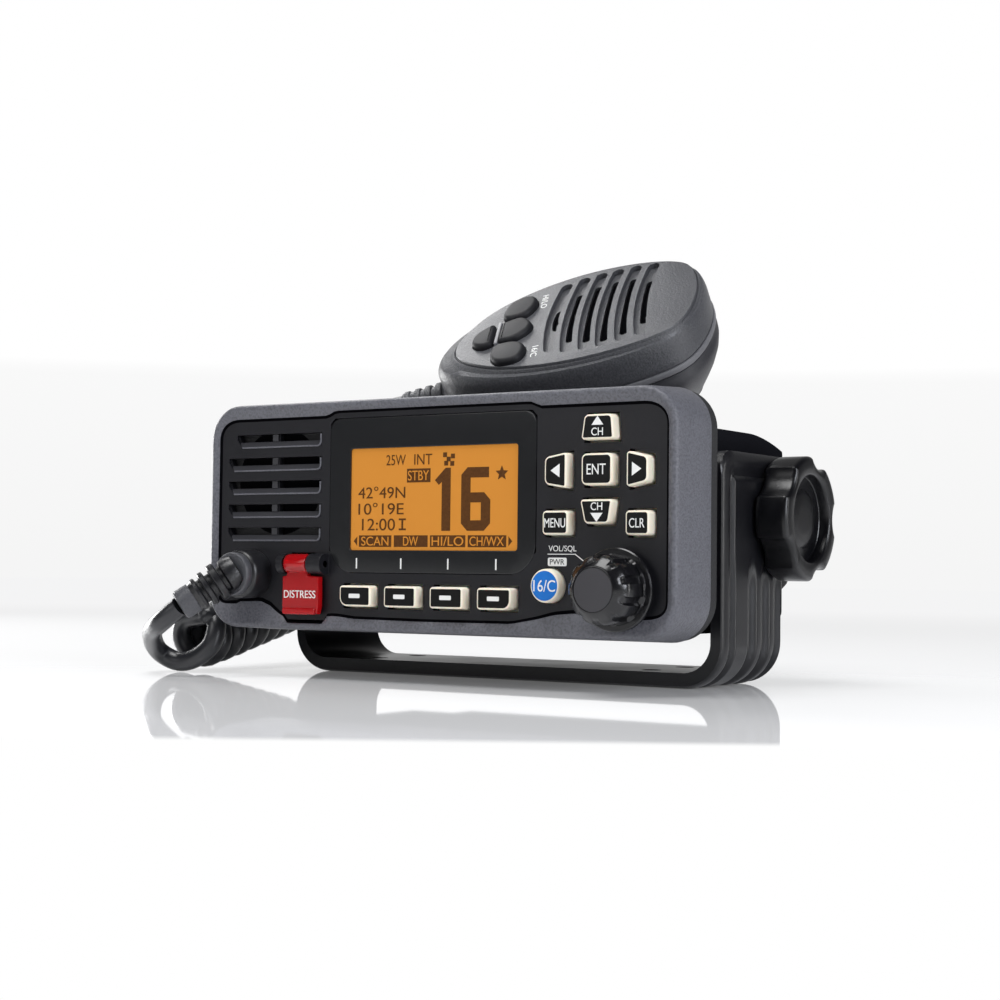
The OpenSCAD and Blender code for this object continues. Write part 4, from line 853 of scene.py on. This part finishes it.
for name, x0, x1 in (("left", -49.4, -47.1), ("right", -38.6, -33.5)):
    ends = [(x0 + 0.01, 1.6), (x0 + 0.05, 2.5), (x0 + 0.5, 2.88), (x1 - 0.35, 2.88), (x1 - 0.02, 2.6), (x1, 0.9)]
    assign(round_the_pin(f"flap_knuckle_{name}", ends, gloss_black), "radio")


# ---- Gland and strain relief ----
# The microphone cord comes out of a black boss through a ribbed nut and a slotted rubber
# strain relief that bends down to the left.
rubber = textured("black rubber", (0.0075, 0.0075, 0.009), 0.34, lump=0.0004, depth=0.00003)
grey_rubber = textured("grey rubber", (0.048, 0.049, 0.055), 0.42, lump=0.0005, depth=0.00012, speckle=1.2)
gland_axis = (GLAND.x, 0, GLAND.z)
boss_profile = [(0, 4.2), (5, 4.2), (5, 1.35), (7, 1.35), (7, -4.6), (6.7, -5.5), (6.1, -6), (0, -6)]
nut_profile = [(0, -6), (6.1, -6), (6.2, -6.2), (6.2, -8), (5.9, -8.4), (5.2, -8.5), (0, -8.5)]
boss = spun("gland_collar", boss_profile, gland_axis, TOWARDS_BACK, rubber)
assign(boss, "radio", node="gland_boss")
nut = spun("gland_ring", nut_profile, gland_axis, TOWARDS_BACK, grey_rubber)
assign(nut, "radio", node="gland_nut")


def towards(direction):
    return Vector(direction).to_track_quat("Z", "Y").to_matrix().to_4x4()


collar_profile = [
    (3.2, 12.0), (4.1, 12.0), (4.4, 12.25), (4.45, 15.9), (4.2, 16.6), (3.4, 16.95), (3.2, 16.9)]
collar = spun("strain_relief_collar", collar_profile, GLAND, towards(BOOT_AIM), grey_rubber, 48)
assign(collar, "radio")
profile = [(0, -3.0), (4.6, -2.2), (5.0, -0.5), (4.9, 1.4), (3.7, 1.9), (3.6, 2.6)]
for middle, radius, half in ((4.1, 5.6, 1.1), (7.6, 5.2, 0.85), (10.4, 4.8, 0.75)):
    profile += [
        (3.6, middle - half - 0.15), (radius - 0.3, middle - half), (radius, middle - half + 0.3),
        (radius, middle + half - 0.4), (radius - 0.4, middle + half), (3.6, middle + half + 0.15)]
profile = profile[:-1] + [(3.6, 16.9), (0, 17)]
relief = spun("strain_relief_ribs", profile, GLAND, towards(BOOT_AIM), rubber, 48)
bm = bmesh.new()
bm.from_mesh(relief.data)
bmesh.ops.bisect_plane(
    bm, geom=[*bm.verts, *bm.edges, *bm.faces], plane_co=at(*GLAND), plane_no=(0, 1, 0), clear_outer=True)
bmesh.ops.holes_fill(bm, edges=[e for e in bm.edges if e.is_boundary])
bmesh.ops.recalc_face_normals(bm, faces=bm.faces)
bm.to_mesh(relief.data)
bm.free()
assign(relief, "radio", node="strain_relief")


# ---- Case, clamps and bracket ----
# A die-cast case with cooling fins, powder-coated black, in a U-shaped bracket of satin
# black metal with fluted arms. Two lobed knobs clamp it through rubber washers.
ARM_OUT, ARM_T, BEND, BASE, ARM_TOP = 73.0, 3.7, 12.0, -13.1, 51.2
ARM_FRONT, ARM_BACK = 35, 82
FLUTES = (53.3, 61.7, 69.9)
KNOB_Y, KNOB_Z = 70, 33.6
KNOB_BACK = 73.3
powder = textured("powder coat", (0.0065, 0.0065, 0.008), 0.42, lump=0.0006, depth=0.00008, Specular_IOR_Level=0.0)
softened("radio_case", "chassis", powder, 0.6, 3)
satin_black = textured(
    "satin black metal", (0.005, 0.005, 0.0065), 0.3, lump=0.0008, depth=0.00002, Specular_IOR_Level=0.5)
knob_black = textured(
    "knob plastic", (0.002, 0.002, 0.003), 0.3, lump=0.0006, depth=0.00002, Specular_IOR_Level=0.45)


def cut(target, cutter, operation="DIFFERENCE"):
    """Cuts one closed piece with another, which is used up."""
    boolean = target.modifiers.new("cut", "BOOLEAN")
    boolean.object = cutter
    boolean.operation = operation
    boolean.solver = "EXACT"
    mesh = evaluated_mesh(target)
    target.modifiers.clear()
    target.data = mesh
    bpy.data.objects.remove(cutter)


def arm_depth(y, z):
    """How deep the bracket's outer face lies: a round bead along the front and the top, soft
    flutes lower down."""
    edge = min(y - ARM_FRONT, ARM_TOP - z)
    if y < 42 and z > ARM_TOP - 7:
        edge = 7 - math.hypot(42 - y, z - ARM_TOP + 7)
    if edge < 6.2:
        rise = 1.1 * (1 - math.sqrt(max(0, 1 - ((edge - 3.1) / 3.3) ** 2)))
        return rise + (0.5 * max(0, (edge - 3.6) / 2.6) if edge > 3.6 else 0)
    wave = 0.0
    for middle in FLUTES:
        off = abs(y - middle) / 3.4
        if off < 1:
            wave = max(wave, 1.7 * (0.5 + 0.5 * math.cos(math.pi * off)))
    fade = min(1, max(0, (z - 14) / 10))
    groove = 1.2 * max(0, 1 - (edge - 6.2) / 1.8)
    return max(wave * (1 - fade * fade * (3 - 2 * fade)), groove, 0.25 * fade)


def bracket_ring(x, z, nx, nz):
    """A section of the bent plate at (x, z), whose inner side lies along (nx, nz)."""
    inner = ARM_T + 0.6 * nz
    ys = [ARM_FRONT + 47 * i / 130 for i in range(131)]
    return [(x + nx * arm_depth(y, z), y, z + nz * arm_depth(y, z)) for y in ys] + [
        (x + nx * inner, y, z + nz * inner) for y in (ARM_BACK, ARM_FRONT)]


def rods(name, radius, length, places, turn):
    """Round rods of one size, to cut holes with."""
    bm = bmesh.new()
    for place in places:
        bmesh.ops.create_cone(
            bm, cap_ends=True, segments=32, radius1=radius * MM, radius2=radius * MM, depth=length * MM,
            matrix=Matrix.Translation(place) @ turn)
    return settle(name, bm, satin_black)


half_path = [(-ARM_OUT, ARM_TOP + 1.5 - i, 1, 0) for i in range(52)]
half_path += [
    (-ARM_OUT + BEND * (1 - math.cos(a)), BASE + BEND * (1 - math.sin(a)), math.cos(a), math.sin(a))
    for a in (math.radians(90 * i / 14) for i in range(15))]
half_path += [(x, BASE, 0, 1) for x in (-45, -30, -15)]
path = half_path + [(0, BASE, 0, 1)] + [(-x, z, -nx, nz) for x, z, nx, nz in reversed(half_path)]
bracket = make("mounting_bracket", [bracket_ring(*place) for place in path], satin_black)
side_view = round_corners(
    [(35, -14), (72.3, -14), (72.3, 13.8), (75.8, 15.4), (82, 22), (82, ARM_TOP), (35, ARM_TOP)],
    [0.1, 0.1, 1.5, 4, 3, 6, 5.5], 8)
bm = bmesh.new()
bm.faces.new([bm.verts.new(at(-90, y, z)) for y, z in side_view])
thicken(bm, (180, 0, 0))
cut(bracket, settle("arm_side_view", bm, satin_black), "INTERSECT")
screw_places = [(x * MM, y * MM, 0) for x, y in ((-47, -10), (47, -10), (-47, 10), (47, 10))]
cut(bracket, rods("screw_holes", 2.75, 20, screw_places, Matrix.Identity(4)))
cut(bracket, rods("pivot_bore", 4.4, 200, [at(0, KNOB_Y, KNOB_Z)], Matrix.Rotation(math.pi / 2, 4, "Y")))
edge = bracket.modifiers.new("edges", "BEVEL")
edge.width, edge.segments, edge.limit_method, edge.angle_limit = 0.5 * MM, 3, "ANGLE", math.radians(48)
bracket.data.shade_smooth()
bracket.data.set_sharp_from_angle(angle=math.radians(35))
assign(bracket, "base", "bracket")
dress("friction_washers", rubber)


def lobed(angle):
    """The knob's radius: five lobes with a round hollow between each two."""
    off = (angle * 5 / (2 * math.pi) + 0.5) % 1
    away = min(off, 1 - off) * math.radians(72)
    hollow, reach = 9.2, 24.4
    if reach * math.sin(away) >= hollow:
        return 17.5
    return min(17.5, reach * math.cos(away) - math.sqrt(hollow**2 - (reach * math.sin(away)) ** 2))


# Each clamp knob has a sunk face with a domed middle, and every edge of it is rounded.
angles = [k / 300 * 2 * math.pi for k in range(300)]
lobes = [lobed(angle) for angle in angles]
knob_levels = [(x, [r - shrink for r in lobes]) for x, shrink in (
    (0, 1.6), (0.25, 0.7), (1.0, 0.15), (2, 0), (8.4, 0), (8.9, 0.08), (9.4, 0.35), (9.8, 0.8), (10, 1.5))]
knob_levels += [(x, [radius] * 300) for x, radius in (
    (10, 12.9), (9.8, 12.45), (9.2, 12.15), (6.9, 12.0), (6.7, 11.8), (6.7, 8.5), (6.8, 8.2), (7.25, 7.6),
    (7.55, 6.4), (7.6, 3.5), (7.6, 0.6))]
for side, name in ((1, "right"), (-1, "left")):
    rings = [[
        (side * (KNOB_BACK + x), KNOB_Y - r * math.cos(a), KNOB_Z + r * math.sin(a)) for a, r in zip(angles, radii)]
        for x, radii in knob_levels]
    knob = make(f"clamp_knob_{name}_grip", rings, knob_black)
    assign(knob, f"clamp_{name}", f"clamp_knob_{name}")


# ---- Hand microphone ----
# Two moulded half shells in charcoal plastic, screwed together from behind. The front one
# carries a flat face plate with six grille slots and four soft keys.
MIC_OUTLINE = [
    (-25.5, -4, 16), (24.5, 0, 20.5), (31, 11.5, 12.8), (28, -12, 14), (19, 8, 20.5), (18, -7.5, 20.5),
    (2, 10, 19), (2, -10, 19), (-13, 4, 18.5), (-13, -6, 18.5)]
MIC_FACE = [
    (-21.5, -4, 12.4), (24.5, 0, 18.4), (30.5, 12, 11), (28.5, -12, 12.5), (19, 8, 18.8), (18, -7.5, 18.6),
    (2, 10, 16.9), (2, -10, 16.9), (-13, 4, 16), (-13, -6, 16)]
MIC_FLOOR = [(24, 0, 13), (20, 8, 13), (-6, 5, 9), (-6, 12, 10)]
BOW = -1.7
SLOT_ENDS = [
    ((-1.9, -17.7), (-0.4, 21.1)), ((3.5, -20.1), (5.3, 22.7)), ((9.2, -21.2), (10.9, 23.2)),
    ((14.6, -21.4), (16.3, 23.2)), ((20.5, -20.6), (22.1, 22.8)), ((26.4, -19.6), (27.9, 21.6))]
OPEN_ENDS = [
    ((-1.5, -3), (-1.3, 7.1)), ((3.6, -12.3), (4.6, 15.1)), ((9.2, -14.7), (10.2, 17.9)),
    ((14.7, -16.5), (16.0, 18.6)), ((20.7, -15), (21.7, 17.6)), ((26.8, -11), (27.3, 13.5))]
KEYS = {
    "mic_key_power": (
        [(-19.7, 5.4), (-11.6, 5.4), (-8.4, 11.2), (-9.0, 16.8), (-13.2, 18.4), (-18.6, 15.2)],
        [1.6, 2.4, 2.4, 1.9, 2.6, 2.8]),
    "mic_key_down": (
        [(-27.9, -6.8), (-24.2, -9.4), (-20.8, -8.4), (-20.8, 3.2), (-22.6, 3.4), (-27.6, -0.8)],
        [1.8, 2.2, 0.7, 0.7, 1.4, 2.6]),
    "mic_key_up": (
        [(-18.9, -8.2), (-13.4, -8.5), (-9.2, -4.8), (-8.5, -0.6), (-11.4, 4.0), (-14.2, 4.4), (-18.9, 2.8)],
        [0.7, 2.0, 2.0, 2.0, 1.2, 1.2, 0.7]),
    "mic_key_16": (
        [(-18.4, -21.6), (-11.4, -22.6), (-9.2, -19.0), (-9.3, -13.6), (-12.6, -10.4), (-19.6, -9.9),
         (-20.7, -15.8)],
        [2.4, 1.8, 2.2, 2.0, 2.0, 1.6, 2.2])}


def on_mic(x, y, z):
    return tuple(MIC_CENTRE + (MIC_TURN @ Vector((x, y, z, 1))).to_3d())


def round_outline(circles, inset=0.0, steps=144):
    """The outline of a band stretched round circles (x, y, radius), its corners eased, moved in by
    inset."""
    angles = [2 * math.pi * (k + 0.5) / steps for k in range(steps)]
    reach = [max(x * math.cos(a) + y * math.sin(a) + r for x, y, r in circles) for a in angles]
    for _ in range(2):
        reach = [sum(reach[(k + i) % steps] for i in range(-4, 5)) / 9 for k in range(steps)]
    out = []
    for k, a in enumerate(angles):
        slope = (reach[(k + 1) % steps] - reach[k - 1]) / (4 * math.pi / steps)
        far = reach[k] - inset
        out.append((far * math.cos(a) - slope * math.sin(a), far * math.sin(a) + slope * math.cos(a)))
    return out


def mic_ring(z, way, first, second):
    """A ring at a height, part of the way from one outline to another."""
    return [on_mic(ax + (bx - ax) * way, ay + (by - ay) * way, z) for (ax, ay), (bx, by) in zip(first, second)]


def mic_rings(levels):
    """Rings at (height, way from the outer outline to the face's, inset)."""
    return [mic_ring(z, way, round_outline(MIC_OUTLINE, inset), round_outline(MIC_FACE, inset))
            for z, way, inset in levels]


def mic_block(name, shapes, z0, z1, material, top=0.0, steps=3):
    """Flat outlines in the microphone's face, each as thick as from z0 to z1, with a rounded top."""
    bm = bmesh.new()
    levels = [(z0, 0), (z1, 0)]
    if top:
        turns = [a * math.pi / 2 / steps for a in range(steps + 1)]
        levels[1:] = [(z1 - top + top * math.sin(a), top * (1 - math.cos(a))) for a in turns]
    for points in shapes:
        skin(bm, [[on_mic(x, y, z) for x, y in (inside(points, amount) if amount else points)]
                  for z, amount in levels])
    return settle(name, bm, material)


def slot(width, low, high, bow, shift=0.0):
    """A long slot with round ends, from low to high, bowed sideways in its middle."""
    (x0, y0), (x1, y1) = low, high
    side = [
        (x0 + (x1 - x0) * t + bow * (1 - (2 * t - 1) ** 2), y0 + (y1 - y0) * t) for t in (k / 16 for k in range(17))]
    half = width / 2
    turns = [a * math.pi / 6 for a in range(1, 6)]
    ring = [(x + half, y) for x, y in side]
    ring += [(side[-1][0] + half * math.cos(a), y1 + half * math.sin(a)) for a in turns]
    ring += [(x - half, y) for x, y in reversed(side)]
    ring += [(side[0][0] - half * math.cos(a), y0 - half * math.sin(a)) for a in turns]
    return [(x + shift, y) for x, y in ring]


def soft_outline(points, radii, grow=0.0):
    """An outline whose corners are cut again and again until they are round; a small radius
    stays tight."""
    ring = []
    for i, (point, radius) in enumerate(zip(points, radii)):
        here, back, on = Vector(point), Vector(points[i - 1]), Vector(points[(i + 1) % len(points)])
        if radius < 1:
            ring += [here + (back - here).normalized() * 0.6, here + (on - here).normalized() * 0.6]
        else:
            ring.append(here)
    for _ in range(3):
        ring = [p for a, b in zip(ring, ring[1:] + ring[:1]) for p in (a.lerp(b, 0.25), a.lerp(b, 0.75))]
    ring = [tuple(p) for p in ring]
    return inside(ring, -grow) if grow else ring


mic_grey = textured(
    "microphone plastic", (0.048, 0.049, 0.054), 0.4, lump=0.0006, depth=0.00014, speckle=3.5)
front_levels = [
    (-14, 0, 3), (-14, 0, 0.35), (-13.85, 0, 0.08), (-13.5, 0, 0), (-11.9, 0, 0), (-11.75, 0, 0.1),
    (-11.7, 0, 0.42), (-11.45, 0, 0.42), (-11.35, 0, 0.08), (-11, 0, 0), (-9.5, 0, 0)]
front_levels += [
    (-6.4 + 5.3 * math.sin(a), 0.93 * (1 - math.cos(a)), 0) for a in (k * math.pi / 18 for k in range(1, 6))]
front_levels += [
    (-1.9, 0.66, 0), (-1.3, 0.76, 0), (-0.95, 0.84, 0), (-0.8, 0.9, 0), (-0.95, 0.95, 0), (-1.15, 0.985, 0),
    (-1.1, 1, 0.05), (-0.2, 1, 0.15), (-0.05, 1, 0.25), (0, 1, 0.5)]
mic_front = make("mic_front_cover", mic_rings(front_levels), mic_grey)
slots = [slot(3.9, *ends, BOW, 0.3) for ends in SLOT_ENDS]
openings = [slot(2.5, *ends, 0.3 * BOW) for ends in OPEN_ENDS]
key_wells = [soft_outline(*shape, 0.3) for shape in KEYS.values()]
for name, shapes, depth in (
    ("slot_cutter", slots, -1.6), ("opening_cutter", openings, -3.2), ("key_cutter", key_wells, -1.2),
):
    cut(mic_front, mic_block(name, shapes, depth, 1, mic_grey))
mic_front.data.shade_smooth()
mic_front.data.set_sharp_from_angle(angle=math.radians(32))
assign(mic_front, "mic", "mic_front_shell")
band_grey = textured("seam band", (0.12, 0.12, 0.128), 0.45, lump=0.00045, depth=0.00006)
band_levels = (
    (-11.75, 0, 1.5), (-11.75, 0, 0.2), (-11.95, 0, -0.2), (-12.2, 0, -0.32), (-13.4, 0, -0.32),
    (-13.7, 0, -0.2), (-13.85, 0, 0.2), (-13.85, 0, 1.5))
assign(make("mic_seam_band", mic_rings(band_levels), band_grey, closed=True), "mic")
# Under the openings, a near-black cloth with no reflection: partly real cloth, partly painted shade.
cloth_and_shade_black = smooth(
    "grille cloth with painted shade", (0.002, 0.002, 0.0025), 0.8, bump=(0.0004, 0.00005),
    tint=(0.5, (0.005, 0.005, 0.006), 0.0004), Specular_IOR_Level=0.0)
shade_cloth_shapes = [slot(2.45, *ends, 0.3 * BOW) for ends in OPEN_ENDS]
assign(mic_block("mic_grille_shade_cloth", shade_cloth_shapes, -3.18, -2.6, cloth_and_shade_black), "mic")

# The rear shell narrows from the seam to its floor in a soft S.
rear_grey = textured(
    "microphone rear plastic", (0.022, 0.022, 0.026), 0.46, lump=0.0005, depth=0.00009, speckle=1.2)
rings = []
for z, inset in ((-14.3, 2), (-14.3, 0.5), (-14.5, 0.3), (-15.8, 0.3)):
    rings.append([on_mic(x, y, z) for x, y in round_outline(MIC_OUTLINE, inset)])
for t in (0.06, 0.15, 0.3, 0.5, 0.7, 0.86, 0.95):
    waist = round_outline(MIC_OUTLINE, 0.3 - 1.1 * math.sin(math.pi * t**0.7))
    rings.append(mic_ring(-15.8 - 16.3 * t, t**1.5, waist, round_outline(MIC_FLOOR)))
for z, inset in ((-32.4, 0.1), (-33.1, 0.5), (-33.5, 1.2), (-33.6, 2.2)):
    rings.append([on_mic(x, y, z) for x, y in round_outline(MIC_FLOOR, inset)])
assign(make("mic_rear_cover", rings, rear_grey), "mic", "mic_rear_shell")

soft_key = textured(
    "soft key rubber", (0.007, 0.007, 0.009), 0.55, Specular_IOR_Level=0.3, lump=0.0004, depth=0.00002,
    speckle=0.8)
for node, shape in KEYS.items():
    body = mic_block(f"{node}_rubber", [soft_outline(*shape)], -2.6, 2.0, soft_key, top=1.3, steps=6)
    assign(body, node, node)
light_grey = textured("light grey rib", (0.16, 0.16, 0.17), 0.4, lump=0.0004, depth=0.00002)
rib_shape = round_corners(bar(-20.5, -19.2, -8.0, 5.2), 0.4, 3)
assign(mic_block("mic_key_rib", [rib_shape], -1.0, 1.0, light_grey, top=0.3), "mic")

# The words beside the keys read downwards.
for name, text, x, y, wide in (("power", "HI/LO", -6.7, 14.6, 8.4), ("16", "16/C", -6.4, -17.2, 6.4)):
    printed = lettering(
        f"mic_word_{name}", text, 2.0, wide, 0.05, white_print, lambda a, b, c: at(*on_mic(x + b, y - a, 0.03 + c)))
    assign(printed, "mic")

relief_profile = [(0, -1), (4.3, -1), (4.5, 0.2), (4.5, 0.9)]
for i in range(1, 5):
    middle, radius = 1.9 + i * 3.6, 4.6 - 0.2 * i
    relief_profile += [
        (3.4, middle - 1.2), (radius - 0.2, middle - 1.1), (radius, middle - 0.8), (radius, middle + 0.6),
        (radius - 0.3, middle + 0.9), (3.4, middle + 1.0)]
relief_profile += [(3.35, 17.7), (3.1, 18), (0, 18)]
boot = spun("mic_relief_ribs", relief_profile, on_mic(-38, -4, -15), towards(-into_mic), grey_rubber, 48)
assign(boot, "mic", node="mic_strain_relief")
talk_shape = round_corners(bar(0, 26, 25.5, 31), [1, 1, 3.5, 3.5], 5)
talk = mic_block("talk_bar_grip", [talk_shape], -20, -9, soft_key, top=1.2, steps=4)
assign(talk, "ptt", "ptt_bar")


# ---- Inside and behind ----
# Circuit boards, speaker, encoder, screws and sockets, in their plain factory finishes.
steel = smooth("steel", (0.55, 0.55, 0.56), 0.3, sheen=(0.24, 0.14, 0.002), Metallic=1.0)
nickel = smooth("nickel", (0.62, 0.6, 0.55), 0.22, sheen=(0.18, 0.12, 0.002), Metallic=1.0)
board_green = smooth("circuit board", (0.012, 0.075, 0.03), 0.4, tint=(0.6, (0.02, 0.11, 0.045), 0.0025))
component = textured("component grey", (0.11, 0.11, 0.115), 0.45, lump=0.0006, depth=0.00004)
for material, nodes in (
    (steel, "clamp_bolt_left clamp_bolt_right case_screws ground_screw encoder_shaft flap_pin mic_screws"),
    (nickel, "antenna_jack shield_cover hanger_stud"), (board_green, "logic_board main_board mic_board"),
    (cloth_and_shade_black, "speaker"), (component, "encoder_body mic_element ptt_switch"), (rubber, "rear_lead_gland"),
    (ivory, "keypad_sheet"),
):
    for node in nodes.split():
        dress(node, material)
